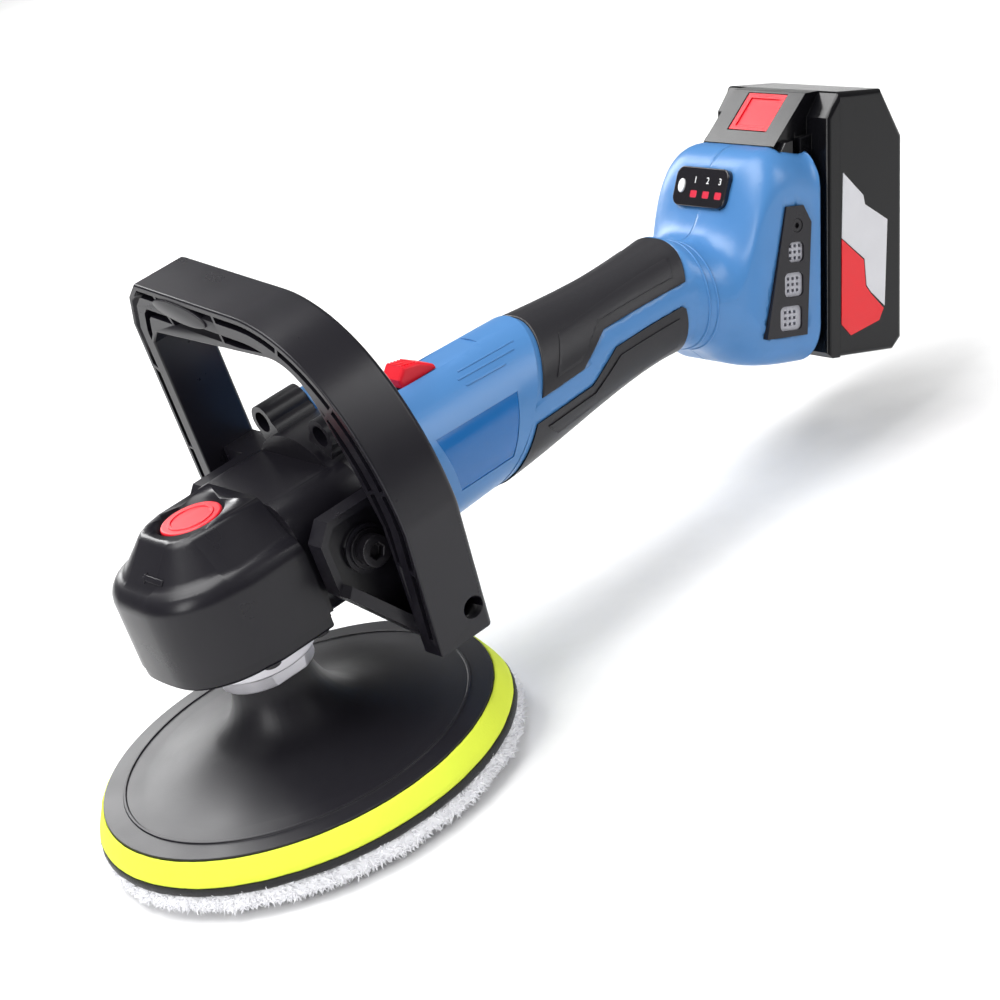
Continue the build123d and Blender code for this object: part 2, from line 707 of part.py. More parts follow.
def barrel_skin(low, high):
    """Conical skin of the motor housing, between two heights over its surface."""
    with BuildPart() as skin:
        with BuildSketch(SIDE):
            with BuildLine():
                Polyline(
                    (85, MOTOR_Z + barrel_r(85) + low),
                    (85, MOTOR_Z + barrel_r(85) + high),
                    (150, MOTOR_Z + barrel_r(150) + high),
                    (150, MOTOR_Z + barrel_r(150) + low),
                    close=True,
                )
            make_face()
        revolve(axis=motor_axis)
    return skin.part


panel_bodies = side_prism(SIDE_PANEL, -50, 50) & barrel_skin(-1.4, -0.35)
with BuildPart() as motor_housing:
    with BuildSketch(SIDE):
        with BuildLine():
            Polyline(
                (BARREL_FRONT, MOTOR_Z + 29.6),
                (BARREL_FRONT, MOTOR_Z + 35.5),
                (BARREL_FRONT + 5, MOTOR_Z + 35.5),
                (BARREL_FRONT + 9, MOTOR_Z + barrel_r(BARREL_FRONT + 9)),
                (170, MOTOR_Z + barrel_r(170)),
                (170, MOTOR_Z + BORE_R),
                (88, MOTOR_Z + BORE_R),
                (88, MOTOR_Z + 29.6),
                close=True,
            )
        make_face()
    revolve(axis=motor_axis)
    for x, z in CASE_SCREWS:
        with BuildSketch(BACKWARD.offset(BARREL_FRONT)):
            with Locations((x * 0.93, z * 0.93)):
                Circle(7.4)
        extrude(amount=16, taper=6)
    add(ring_y(29.6, 0, BARREL_FRONT - 1, 88), mode=Mode.SUBTRACT)
    split(bisect_by=SEAM_PLANE, keep=Keep.BOTTOM)
    for x, z in CASE_SCREWS:
        with BuildSketch(BACKWARD.offset(BARREL_FRONT)):
            with Locations((x, z)):
                Circle(2.3)
        extrude(amount=13, mode=Mode.SUBTRACT)
    # shallow thumb scoop round the switch, slot for its stem, and a covered channel for its link
    add(box(-SWITCH_HALF - 1.5, SWITCH_HALF + 1.5, SWITCH_FRONT - 8.5, 141, MOTOR_Z + 29.2, MOTOR_Z + 60),
        mode=Mode.SUBTRACT)
    add(box(-5.0, 5.0, STEM_FRONT - SWITCH_TRAVEL - 0.6, SWITCH_REAR - 2.4, MOTOR_Z, MOTOR_Z + 60),
        mode=Mode.SUBTRACT)
    add(box(-6.0, 6.0, STEM_FRONT - SWITCH_TRAVEL - 0.6, 138.5, MOTOR_Z, MOTOR_Z + 28.1), mode=Mode.SUBTRACT)
    add(side_prism(SIDE_PANEL, -50, 50) & barrel_skin(-1.4, 3), mode=Mode.SUBTRACT)
save(motor_housing.part, "motor_housing")
save(panel_bodies, "side_panels")

# ---------------------------------------------------------------- handle and rear housing
NECK_TILT = radians(16.0)
NECK_PLANE = Plane(
    origin=(0, 240.0, MOTOR_Z - 0.8),
    x_dir=(1, 0, 0),
    z_dir=(0, cos(NECK_TILT), -sin(NECK_TILT)),
)
NECK_SIZE = (51.0, 49.5, 23.0)


def handle_core(shrink):
    """The handle from the slanting seam to the neck, as one smooth loft."""
    stations = [
        (112, 62.0, 62.0, 30.9, MOTOR_Z),
        (150, 58.0, 58.0, 28.4, MOTOR_Z),
        (190, 50.0, 48.8, 23.0, MOTOR_Z - 0.3),
    ]
    with BuildPart() as core:
        for y, width, height, corner, middle in stations:
            plane = Plane(origin=(0, y, middle), x_dir=(1, 0, 0), z_dir=(0, 1, 0))
            with BuildSketch(plane):
                RectangleRounded(width - 2 * shrink, height - 2 * shrink, corner - shrink)
        with BuildSketch(NECK_PLANE):
            RectangleRounded(NECK_SIZE[0] - 2 * shrink, NECK_SIZE[1] - 2 * shrink, NECK_SIZE[2] - shrink)
        loft()
    return core.part


def rear_core(shrink):
    """The rear housing, from the neck of the handle to the battery."""
    stations = [
        (-43.5, 0.0, 59.0, 33.0, 25.0),
        (-38.5, -3.0, 74.0, 35.0, 22.0),
        (-32.5, -4.3, 85.0, 36.7, 19.0),
        (-23.0, -5.0, 90.0, 37.4, 18.0),
        (REAR_END, REAR_LOW, REAR_TOP, REAR_HALF, 18.0),
    ]
    with BuildPart() as core:
        with BuildSketch(NECK_PLANE):
            RectangleRounded(NECK_SIZE[0] - 2 * shrink, NECK_SIZE[1] - 2 * shrink, NECK_SIZE[2] - shrink)
        for n, low, high, half, corner in stations:
            plane = Plane(origin=pack_point(0, n, (low + high) / 2), x_dir=(1, 0, 0), z_dir=PACK_N)
            with BuildSketch(plane):
                RectangleRounded(2 * (half - shrink), high - low - 2 * shrink, corner - shrink)
        loft()
    return core.part


handle_outer = handle_core(0)
rear_outer = rear_core(0)
PAD_PROUD = 0.7
PAD_DEPTH = 1.4
pad_zone = handle_core(-PAD_PROUD) - handle_core(PAD_DEPTH)

UPPER_PAD = [(167.5, 133), (147, 104.2), (172.5, 103.6), (190.5, 112.5), (234, 110.6), (237.5, 110.6), (243.7, 121),
             (246.4, 128), (248, 133)]
LOWER_PAD = [(140.5, 95.5), (174.5, 94.6), (192.5, 103.2), (231, 102.0), (232.4, 100.4), (229.6, 79.5), (229, 70), (124.5, 70)]


def grip_pad(outline):
    """One rubber pad: its outline cut through the skin of the handle on both sides."""
    with BuildPart() as pad:
        add(side_prism(outline, -40, 40))
        add(pad_zone, mode=Mode.INTERSECT)
    return pad.part


grip_pad_upper = grip_pad(UPPER_PAD)
grip_pad_lower = grip_pad(LOWER_PAD)
save(grip_pad_upper, "grip_pad_upper")
save(grip_pad_lower, "grip_pad_lower")

# Layout of the battery rail, shared by the rear housing and the pack
RAIL_HALF = 26.9
CHANNEL_HALF = RAIL_HALF + GAP
CHANNEL_FRONT = -RAIL_DEPTH - 0.9 - GAP
RIB = (-10.5, -7.0)          # guide ribs of the housing, front and rear face
RIB_REACH = 3.6
BLADES_X = (-15.0, -5.0, 5.0, 15.0)

DISPLAY_TILT = 52.0          # slope of the front shoulder
DISPLAY_CENTRE = (0, 278.3, 133.2)
DISPLAY_PLANE = Plane(
    origin=DISPLAY_CENTRE,
    x_dir=(1, 0, 0),
    z_dir=(0, -sin(radians(DISPLAY_TILT)), cos(radians(DISPLAY_TILT))),
)
DISPLAY_SIZE = (35.0, 17.5)
DISPLAY_PROUD = 1.0
DISPLAY_DEPTH = 2.6
SPEED_BUTTON_X = -12.3
SPEED_BUTTON_SIZE = (4.2, 6.2)

VENT_OUTLINE = [(-36.0, 9.5), (-13.0, 9.5), (-10.5, 58.5), (-15.0, 66.0), (-24.8, 66.0)]
VENT_OUTER = REAR_HALF + 0.9
VENT_DEPTH = 3.0
VENT_WINDOWS = [(-19.3, 46.0, 8.6, 8.8), (-20.6, 32.0, 10.6, 10.6), (-22.3, 17.5, 12.4, 10.8)]
VENT_SCREW = (-18.6, 57.5)


def display_slab(low, high, grow):
    """Rounded slab of the display, between two heights over its plane."""
    with BuildPart() as slab:
        with BuildSketch(DISPLAY_PLANE.offset(low)):
            RectangleRounded(DISPLAY_SIZE[0] + 2 * grow, DISPLAY_SIZE[1] + 2 * grow, 4.5 + grow)
        extrude(amount=high - low)
    return slab.part


def vent_prism(side, inner, outer, grow):
    """Prism of the vent panel on one side."""
    with BuildPart() as prism:
        with BuildSketch(PACK_SIDE.offset(side * inner)):
            with BuildLine():
                Polyline(*VENT_OUTLINE, close=True)
            make_face()
            if grow:
                offset(amount=grow)
        extrude(amount=side * (outer - inner))
    return prism.part


SHELL_SCREWS = [(158.0, 99.5), (229.0, 106.4), (262.0, 62.0), (287.0, 131.0)]   # along the tool, height
SHELL_SCREW_HEAD_X = -22.5


def screw_bars(radius, x0, x1):
    """Round bars across the tool, one at each shell screw."""
    with BuildPart() as bars:
        with BuildSketch(Plane.YZ.offset(x0)):
            with Locations(*SHELL_SCREWS):
                Circle(radius)
        extrude(amount=x1 - x0)
    return bars.part


def handle_shell(side):
    """One half of the handle and rear housing."""
    with BuildPart() as shell:
        add(handle_outer)
        add(rear_outer)
        add(handle_core(PAD_DEPTH + 2.2), mode=Mode.SUBTRACT)
        hollow = rear_core(2.6) & pack_block(-60, 60, -90, -7.2, -40, 120)
        add(hollow, mode=Mode.SUBTRACT)
        add(ring_y(BORE_R, 0, 100, 152), mode=Mode.SUBTRACT)
        lining = pack_block(-RAIL_HALF - 3, RAIL_HALF + 3, CHANNEL_FRONT - 2.6, REAR_END, -4, 89) & rear_outer
        add(lining)
        add(pack_block(-CHANNEL_HALF, CHANNEL_HALF, CHANNEL_FRONT, 5, 3.2, 140), mode=Mode.SUBTRACT)
        for edge in (-1, 1):
            x_wall = edge * (CHANNEL_HALF + 0.5)
            x_tip = edge * (CHANNEL_HALF - RIB_REACH)
            add(pack_block(min(x_wall, x_tip), max(x_wall, x_tip), RIB[0], RIB[1], 3.0, 86))
        add(pack_block(-20, 20, CHANNEL_FRONT - 4, CHANNEL_FRONT + 1, 18, 58), mode=Mode.SUBTRACT)
        add(display_slab(-DISPLAY_DEPTH, 12, 0.0), mode=Mode.SUBTRACT)
        add(vent_prism(side, VENT_OUTER - VENT_DEPTH, 60, 0), mode=Mode.SUBTRACT)
        add(grip_pad_upper, mode=Mode.SUBTRACT)
        add(grip_pad_lower, mode=Mode.SUBTRACT)
        # screw posts inside, screw holes, and pockets for the heads on the right
        add(screw_bars(3.9, -25, 25) & handle_outer)
        add(screw_bars(3.9, -37, 37) & rear_outer & pack_block(-60, 60, -90, -8, -40, 120))
        add(screw_bars(1.9, -24, 21), mode=Mode.SUBTRACT)
        add(screw_bars(3.3, -60, SHELL_SCREW_HEAD_X), mode=Mode.SUBTRACT)
        split(bisect_by=SEAM_PLANE, keep=Keep.TOP)
        split(bisect_by=Plane.YZ, keep=Keep.TOP if side > 0 else Keep.BOTTOM)
    return shell.part


save(handle_shell(1), "handle_shell_left")
save(handle_shell(-1), "handle_shell_right")

with BuildPart() as shell_screws:
    add(screw_bars(1.85, SHELL_SCREW_HEAD_X - 2.2, 20))
    add(screw_bars(3.0, SHELL_SCREW_HEAD_X - 2.4, SHELL_SCREW_HEAD_X))
save(shell_screws.part, "shell_screws")

# ---------------------------------------------------------------- display, vents, panels
button_spot = Plane(
    origin=Vector(*DISPLAY_CENTRE) + Vector(SPEED_BUTTON_X, 0, 0),
    x_dir=(1, 0, 0),
    z_dir=DISPLAY_PLANE.z_dir,
)
SPEED_TRAVEL = 0.6
with BuildPart() as display_panel:
    add(display_slab(-DISPLAY_DEPTH, DISPLAY_PROUD, 0.0))
    front = display_panel.faces().sort_by(lambda f: (f.center() - Vector(*DISPLAY_CENTRE)).dot(DISPLAY_PLANE.z_dir))
    fillet(front[-1].edges(), radius=0.6)
    with BuildSketch(button_spot.offset(DISPLAY_PROUD - 2.2)):
        Ellipse(SPEED_BUTTON_SIZE[0] / 2 + 0.3, SPEED_BUTTON_SIZE[1] / 2 + 0.3)
    extrude(amount=6, mode=Mode.SUBTRACT)
    for column in range(3):
        # window of one speed indicator
        with BuildSketch(button_spot.offset(DISPLAY_PROUD - 0.6)):
            with Locations((8.6 + column * 8.2, -3.2)):
                RectangleRounded(4.4, 3.2, 0.7)
        extrude(amount=3, mode=Mode.SUBTRACT)
save(display_panel.part, "display_panel")

with BuildPart() as indicator_lamps:
    for column in range(3):
        with BuildSketch(button_spot.offset(DISPLAY_PROUD - 0.6)):
            with Locations((8.6 + column * 8.2, -3.2)):
                RectangleRounded(4.3, 3.1, 0.65)
        extrude(amount=0.5)
save(indicator_lamps.part, "indicator_lamps")

with BuildPart() as speed_button:
    with BuildSketch(button_spot.offset(DISPLAY_PROUD - 2.2 + SPEED_TRAVEL + 0.05)):
        Ellipse(SPEED_BUTTON_SIZE[0] / 2, SPEED_BUTTON_SIZE[1] / 2)
    extrude(amount=2.2)
    face = speed_button.faces().sort_by(lambda f: (f.center() - Vector(*DISPLAY_CENTRE)).dot(DISPLAY_PLANE.z_dir))
    fillet(face[-1].edges(), radius=0.5)
save(speed_button.part, "speed_button")


def vent_window(side, index, x_low, x_high, grow):
    """Prism of one vent window."""
    n, u, width, height = VENT_WINDOWS[index]
    with BuildPart() as prism:
        with BuildSketch(PACK_SIDE.offset(side * x_low)):
            with Locations((n, u)):
                RectangleRounded(width + 2 * grow, height + 2 * grow, 2.4)
        extrude(amount=side * (x_high - x_low))
    return prism.part


def vent_panel(side):
    """Vent panel with three windows and a screw hole."""
    with BuildPart() as panel:
        add(vent_prism(side, VENT_OUTER - VENT_DEPTH, VENT_OUTER, 0))
        for index in range(3):
            add(vent_window(side, index, 30, 60, 0), mode=Mode.SUBTRACT)
        with BuildSketch(PACK_SIDE.offset(side * 30)):
            with Locations(VENT_SCREW):
                Circle(1.7)
        extrude(amount=side * 20, mode=Mode.SUBTRACT)
        with BuildSketch(PACK_SIDE.offset(side * (VENT_OUTER - 1.6))):
            with Locations(VENT_SCREW):
                Circle(3.0)
        extrude(amount=side * 20, mode=Mode.SUBTRACT)
    return panel.part


def vent_mesh(side):
    """The three mesh inserts behind the windows of one panel."""
    with BuildPart() as mesh:
        for index in range(3):
            add(vent_window(side, index, VENT_OUTER - VENT_DEPTH, VENT_OUTER - 1.1, -0.05))
            n, u, width, height = VENT_WINDOWS[index]
            with BuildSketch(PACK_SIDE.offset(side * 30)):
                with Locations((n, u)):
                    with GridLocations(2.6, 2.6, 3, 3):
                        Rectangle(1.4, 1.4)
            extrude(amount=side * 20, mode=Mode.SUBTRACT)
    return mesh.part


save(Compound(children=[vent_panel(1), vent_panel(-1)]), "vent_panels")
save(Compound(children=[vent_mesh(1), vent_mesh(-1)]), "vent_meshes")

with BuildPart() as vent_screws:
    for side in (-1, 1):
        with BuildSketch(PACK_SIDE.offset(side * (VENT_OUTER - VENT_DEPTH))):
            with Locations(VENT_SCREW):
                Circle(1.6)
        extrude(amount=side * (VENT_DEPTH - 1.6))
        with BuildSketch(PACK_SIDE.offset(side * (VENT_OUTER - 1.6))):
            with Locations(VENT_SCREW):
                Circle(2.9)
                RegularPolygon(1.3, 6, mode=Mode.SUBTRACT)
        extrude(amount=side * 1.3)
save(vent_screws.part, "vent_screws")

# ---------------------------------------------------------------- slide switch and electronics
with BuildPart() as switch_knob:
    with BuildSketch(SIDE.offset(-SWITCH_HALF)):
        with BuildLine():
            Polyline(
                (SWITCH_FRONT, MOTOR_Z + 29.6),
                (SWITCH_FRONT, MOTOR_Z + 33.2),
                (SWITCH_FRONT + 4, MOTOR_Z + 37.2),
                (SWITCH_REAR - 6, MOTOR_Z + 35.4),
                (SWITCH_REAR, MOTOR_Z + 31.4),
                (SWITCH_REAR, MOTOR_Z + 29.6),
                close=True,
            )
        make_face()
    extrude(amount=2 * SWITCH_HALF)
    upright = switch_knob.edges().filter_by(lambda e: abs(e.center().X) > SWITCH_HALF - 0.1)
    fillet(upright.filter_by(lambda e: e.center().Z > MOTOR_Z + 31), radius=1.6)
    add(box(-4.5, 4.5, STEM_FRONT, SWITCH_REAR - 3, MOTOR_Z + 27.9, MOTOR_Z + 29.7))
save(switch_knob.part, "switch_knob")

LINK_Z = (MOTOR_Z + 25.7, MOTOR_Z + 27.9)
with BuildPart() as switch_link:
    add(box(-4.5, 4.5, STEM_FRONT, 137, *LINK_Z))
    add(box(-2.6, 2.6, 136, 160, MOTOR_Z + 20.2, MOTOR_Z + 22.4))
    add(box(-2.6, 2.6, 134.5, 137, MOTOR_Z + 20.2, LINK_Z[1]))
    add(box(-2.6, 2.6, 157, 160, MOTOR_Z + 15, MOTOR_Z + 21))
save(switch_link.part, "switch_link")

with BuildPart() as switch_body:
    add(box(-7, 7, 168.5, 196, MOTOR_Z + 2, MOTOR_Z + 18.2))
    add(box(-2, 2, 160 + SWITCH_TRAVEL + 0.4, 169, MOTOR_Z + 15.6, MOTOR_Z + 17.8))
save(switch_body.part, "switch_body")

with BuildPart() as controller_board:
    add(box(-15, 15, 200, 250, MOTOR_Z - 12, MOTOR_Z - 10.4))
    add(box(-12, 12, 204, 226, MOTOR_Z - 10.4, MOTOR_Z - 4))
    with BuildSketch(Plane.XY.offset(MOTOR_Z - 10.4)):
        with Locations((-8, 238), (3, 238)):
            Circle(5)
    extrude(amount=14)
save(controller_board.part, "controller_board")

with BuildPart() as terminal_block:
    add(pack_block(-19.5, 19.5, CHANNEL_FRONT - 6, CHANNEL_FRONT - 0.4, 19, 57))
save(terminal_block.part, "terminal_block")

with BuildPart() as tool_blades:
    for x in BLADES_X:
        add(pack_block(x - 0.4, x + 0.4, CHANNEL_FRONT - 0.4, -10.5, 24, 48))
save(tool_blades.part, "tool_blades")

# ---------------------------------------------------------------- D-handle
EAR_OUTER_X = 47.0
with BuildSketch(Plane.XZ) as band_outer:
    with BuildLine():
        Polyline((-77, 52), (-79, 112), (-79, 184), (-73, 197), (-64, 203.5), (9, 196.5))
        arch = TangentArc((9, 196.5), (60, 167), tangent=(73, -7))
        shoulder_arc = TangentArc((60, 167), (78, 110), tangent=arch % 1)
        Polyline((78, 110), (67.5, 52), (-77, 52))
    make_face()
with BuildSketch(Plane.XZ) as band_inner:
    with BuildLine():
        Polyline((-65, 40), (-67, 112), (-67, 176), (-61, 181.5), (24, 180.5))
        inner_arch = TangentArc((24, 180.5), (48, 163), tangent=(1, -0.02))
        inner_side = TangentArc((48, 163), (62.5, 112), tangent=inner_arch % 1)
        Polyline((62.5, 112), (55, 40), (-65, 40))
    make_face()


def band_slice(outer, inner, y0, y1):
    """A slice of the D-shaped band between two outlines."""
    with BuildPart() as piece:
        with BuildSketch(Plane.XZ.offset(-y0)):
            add(outer.sketch)
            add(inner.sketch, mode=Mode.SUBTRACT)
        extrude(amount=-(y1 - y0))
    return piece.part


def shifted(sketch, amount):
    """The same outline, moved in or out."""
    with BuildSketch(Plane.XZ) as moved:
        add(sketch.sketch)
        offset(amount=amount, kind=Kind.INTERSECTION)
    return moved


EAR_OUTLINE = [(17.5, 91), (17.5, 113), (24, 120.5), (66, 120.5), (66, 54), (46, 54)]
SLOT_DEPTH = 9.0
RIB_ANGLES = (176, 150, 122, 95, 62, 36, 6, -22)
with BuildPart() as d_handle:
    add(band_slice(band_outer, band_inner, BAND_FRONT, BAND_REAR))
    # two rows of pockets in the front face, with a strip between them
    for low, high in ((-5.6, -2.6), (-14.0, -10.6)):
        pocket = band_slice(shifted(band_outer, high), shifted(band_outer, low), BAND_FRONT - 1,
                            BAND_FRONT + SLOT_DEPTH)
        pocket = pocket & box(-90, 90, 0, 90, 60, 220)
        keep_clear = band_slice(shifted(band_outer, 5), shifted(band_inner, 2.0), 30, 60)
        for angle in RIB_ANGLES:
            rib = box(0, 120, 30, 60, -0.8, 0.8).rotate(Axis.Y, -angle)
            pocket = pocket - Pos(0, 0, 120) * rib
        add(pocket & keep_clear, mode=Mode.SUBTRACT)
    # ears that bolt to the gear case
    for side in (-1, 1):
        add(side_prism(EAR_OUTLINE, side * EAR_INNER_X, side * EAR_OUTER_X))
        arm_inner = 60 if side > 0 else 69
        add(side_prism([(50, 54), (50, 120.5), (66, 120.5), (66, 54)], side * EAR_OUTER_X, side * arm_inner))
        rim = side_prism(EAR_OUTLINE, side * EAR_OUTER_X, side * 51.5)
        inside = [(20.5, 93), (20.5, 112), (25.5, 117.5), (70, 117.5), (70, 60), (48, 60)]
        add(rim - side_prism(inside, 0, side * 60))
        gusset = [(17.5, 91), (46, 54), (52, 54), (52, 60), (48, 60), (20.5, 95)]
        add(side_prism(gusset, side * EAR_OUTER_X, side * 58))
        with BuildSketch(Plane.YZ.offset(side * EAR_OUTER_X)):
            with Locations((EAR_BOLT_Y, EAR_BOLT_Z)):
                Circle(10)
        extrude(amount=side * 2.5)
        with BuildSketch(Plane.YZ.offset(side * 40)):
            with Locations((EAR_BOLT_Y, EAR_BOLT_Z)):
                Circle(BOLT_R + 0.25)
        extrude(amount=side * 18, mode=Mode.SUBTRACT)
        # free path for the bolt head and its washer
        with BuildSketch(Plane.YZ.offset(side * (EAR_OUTER_X + 2.5))):
            with Locations((EAR_BOLT_Y, EAR_BOLT_Z)):
                Circle(10.2)
        extrude(amount=side * 8.5, mode=Mode.SUBTRACT)
    # hole through the foot of each arm
    with BuildSketch(Plane.YZ.offset(-90)):
        with Locations((60, 64)):
            Circle(4.8)
    extrude(amount=34, mode=Mode.SUBTRACT)
    with BuildSketch(Plane.YZ.offset(90)):
        with Locations((60, 64)):
            Circle(4.8)
    extrude(amount=-34, mode=Mode.SUBTRACT)
save(d_handle.part, "d_handle")

with BuildPart() as handle_washers:
    for side in (-1, 1):
        with BuildSketch(Plane.YZ.offset(side * (EAR_OUTER_X + 2.5))):
            with Locations((EAR_BOLT_Y, EAR_BOLT_Z)):
                Circle(8.2)
                Circle(BOLT_R + 0.25, mode=Mode.SUBTRACT)
        extrude(amount=side * 1.4)
save(handle_washers.part, "handle_washers")

with BuildPart() as handle_bolts:
    for side in (-1, 1):
        with BuildSketch(Plane.YZ.offset(side * (EAR_INNER_X - 12))):
            with Locations((EAR_BOLT_Y, EAR_BOLT_Z)):
                Circle(BOLT_R)
        extrude(amount=side * (EAR_OUTER_X + 3.9 - EAR_INNER_X + 12))
        with BuildSketch(Plane.YZ.offset(side * (EAR_OUTER_X + 3.9))):
            with Locations((EAR_BOLT_Y, EAR_BOLT_Z)):
                Circle(6.5)
        extrude(amount=side * 5.5)
        with BuildSketch(Plane.YZ.offset(side * (EAR_OUTER_X + 5.9))):
            with Locations((EAR_BOLT_Y, EAR_BOLT_Z)):
                RegularPolygon(3.4, 6)
        extrude(amount=side * 5.5, mode=Mode.SUBTRACT)
save(handle_bolts.part, "handle_bolts")

# ---------------------------------------------------------------- battery
PACK_SPLIT = 7.0
PACK_WALL = 2.6
CELL_R = 9.1
CELL_ROWS = (12.3, 30.9)
FRONT_PROFILE = [(0, -0.5), (2.5, PACK_LOW), (PACK_SPLIT, PACK_LOW), (PACK_SPLIT, PACK_LENGTH - 0.7), (0, 102)]
REAR_PROFILE = [
    (PACK_SPLIT, PACK_LOW),
    (PACK_DEPTH - 5, PACK_LOW),
    (PACK_DEPTH, PACK_LOW + 5),
    (PACK_DEPTH, 92),
    (32, PACK_LENGTH),
    (PACK_SPLIT, PACK_LENGTH),
]
RAIL_FRONT = -RAIL_DEPTH - 0.9
RAIL_PROFILE = [(RAIL_FRONT, 4), (1, 4), (1, 95), (RAIL_FRONT + 4, 92), (RAIL_FRONT, 86)]
NOSE_FOOT = (RAIL_FRONT, 90.5)
NOSE_CREST = (-0.5, 112.4)
NOSE_PROFILE = [(RAIL_FRONT, 80), (PACK_SPLIT, 80), (PACK_SPLIT, PACK_LENGTH), NOSE_CREST, NOSE_FOOT]
NOSE_HALF = 23.5
RELEASE_TRAVEL = 3.0
RELEASE_HALF = 12.6
RELEASE_DEPTH = 4.2


def pack_prism(points, half):
    """Prism of a side profile of the battery, centred on its middle plane."""
    with BuildPart() as prism:
        with BuildSketch(PACK_SIDE):
            with BuildLine():
                Polyline(*points, close=True)
            make_face()
        extrude(amount=half, both=True)
    return prism.part


def on_slope(t):
    """A point of the sloping face of the nose, at a distance from its foot."""
    run = NOSE_CREST[0] - NOSE_FOOT[0]
    rise = NOSE_CREST[1] - NOSE_FOOT[1]
    length = (run ** 2 + rise ** 2) ** 0.5
    return (NOSE_FOOT[0] + run * t / length, NOSE_FOOT[1] + rise * t / length)


def release_profile(t0, t1, depth, proud):
    """Side profile of the release button or of its pocket."""
    low, high = on_slope(t0), on_slope(t1)
    return [
        (low[0] - proud, low[1]),
        (low[0] + depth, low[1]),
        (high[0] + depth, high[1]),
        (high[0] - proud, high[1]),
    ]


cells_space = pack_block(-34.6, 34.6, PACK_WALL, PACK_DEPTH - PACK_WALL, 3.0, 98.0)
SPRING_SEAT = on_slope(17.2)
SPRING_NEAR = 4.0            # depth of the spring's near end under the sloping face
SPRING_LENGTH = 8.4
SPRING_X = (-8.0, 8.0)


def spring_bore(n0, n1):
    """Bores for the two release springs."""
    with BuildPart() as bores:
        plane = Plane(origin=pack_point(0, n0, SPRING_SEAT[1]), x_dir=(1, 0, 0), z_dir=PACK_N)
        with BuildSketch(plane):
            with Locations(*[(x, 0) for x in SPRING_X]):
                Circle(2.9)
        extrude(amount=n1 - n0)
    return bores.part


with BuildPart() as pack_front_case:
    add(pack_prism(FRONT_PROFILE, PACK_HALF))
    upright = pack_front_case.edges().filter_by(lambda e: abs(abs(e.center().X) - PACK_HALF) < 0.1)
    front_edges = upright.filter_by(lambda e: (e.center() - Vector(*PACK_ORIGIN)).dot(Vector(*PACK_N)) < 6)
    fillet(front_edges.filter_by(lambda e: e.length > 5), radius=2.2)
    add(pack_prism(RAIL_PROFILE, RAIL_HALF))
    add(pack_prism(NOSE_PROFILE, NOSE_HALF))
    add(cells_space, mode=Mode.SUBTRACT)
    add(pack_block(-20, 20, RAIL_FRONT + 2.5, PACK_WALL + 1, 8, 76), mode=Mode.SUBTRACT)
    for edge in (-1, 1):
        x_wall = edge * (RAIL_HALF + 1)
        x_tip = edge * (CHANNEL_HALF - RIB_REACH - GAP)
        groove = pack_block(min(x_wall, x_tip), max(x_wall, x_tip), RIB[0] - GAP, RIB[1] + GAP, -5, 96)
        add(groove, mode=Mode.SUBTRACT)
    for x in BLADES_X:
        add(pack_block(x - 0.8, x + 0.8, RAIL_FRONT - 1, -9, -5, 52), mode=Mode.SUBTRACT)
    pocket = pack_prism(release_profile(7.1, 27.4, RELEASE_DEPTH + RELEASE_TRAVEL + 0.6, 12), RELEASE_HALF + 0.4)
    add(pocket, mode=Mode.SUBTRACT)
    spring_end = SPRING_SEAT[0] + SPRING_NEAR + SPRING_LENGTH
    add(spring_bore(SPRING_SEAT[0] + SPRING_NEAR, spring_end), mode=Mode.SUBTRACT)
save(pack_front_case.part, "pack_front_case")

with BuildPart() as release_spring:
    for x in SPRING_X:
        base = pack_point(x, SPRING_SEAT[0] + SPRING_NEAR + 0.35, SPRING_SEAT[1])
        add(coil_spring(tuple(base), PACK_N, 2.2, 0.5, SPRING_LENGTH - 0.7, 6))
save(release_spring.part, "release_spring")

with BuildPart() as pack_rear_case:
    add(pack_prism(REAR_PROFILE, PACK_HALF))
    upright = pack_rear_case.edges().filter_by(lambda e: abs(abs(e.center().X) - PACK_HALF) < 0.1)
    rear_edges = upright.filter_by(
        lambda e: (e.center() - Vector(*PACK_ORIGIN)).dot(Vector(*PACK_N)) > PACK_SPLIT + 1
    )
    fillet(rear_edges, radius=3.0)
    add(cells_space, mode=Mode.SUBTRACT)
save(pack_rear_case.part, "pack_rear_case")

with BuildPart() as pack_cells:
    for row in CELL_ROWS:
        for index in range(5):
            with BuildSketch(PACK_SIDE.offset(-32.5)):
                with Locations((row, 12.5 + index * 18.5)):
                    Circle(CELL_R)
            extrude(amount=65)
save(pack_cells.part, "pack_cells")

with BuildPart() as nickel_strips:
    for side in (-1, 1):
        for row in CELL_ROWS:
            x_pair = sorted((side * 32.5, side * 32.8))
            add(pack_block(*x_pair, row - 3.5, row + 3.5, 8, 91))
save(nickel_strips.part, "nickel_strips")

with BuildPart() as pack_board:
    add(pack_block(-19, 19, -4.5, -3.0, 10, 74))
save(pack_board.part, "pack_board")

with BuildPart() as pack_contacts:
    for x in BLADES_X:
        add(pack_block(x - 2.0, x - 0.8, RAIL_FRONT + 3.5, -4.5, 26, 44))
        add(pack_block(x + 0.8, x + 2.0, RAIL_FRONT + 3.5, -4.5, 26, 44))
save(pack_contacts.part, "pack_contacts")

with BuildPart() as release_button:
    add(pack_prism(release_profile(7.5, 27.0, RELEASE_DEPTH, -0.4), RELEASE_HALF))
    add(pack_prism(release_profile(9.5, 24.5, 1.2, 2.0), RELEASE_HALF - 3.0), mode=Mode.SUBTRACT)
    add(spring_bore(SPRING_SEAT[0] + SPRING_NEAR, 12), mode=Mode.SUBTRACT)
save(release_button.part, "release_button")

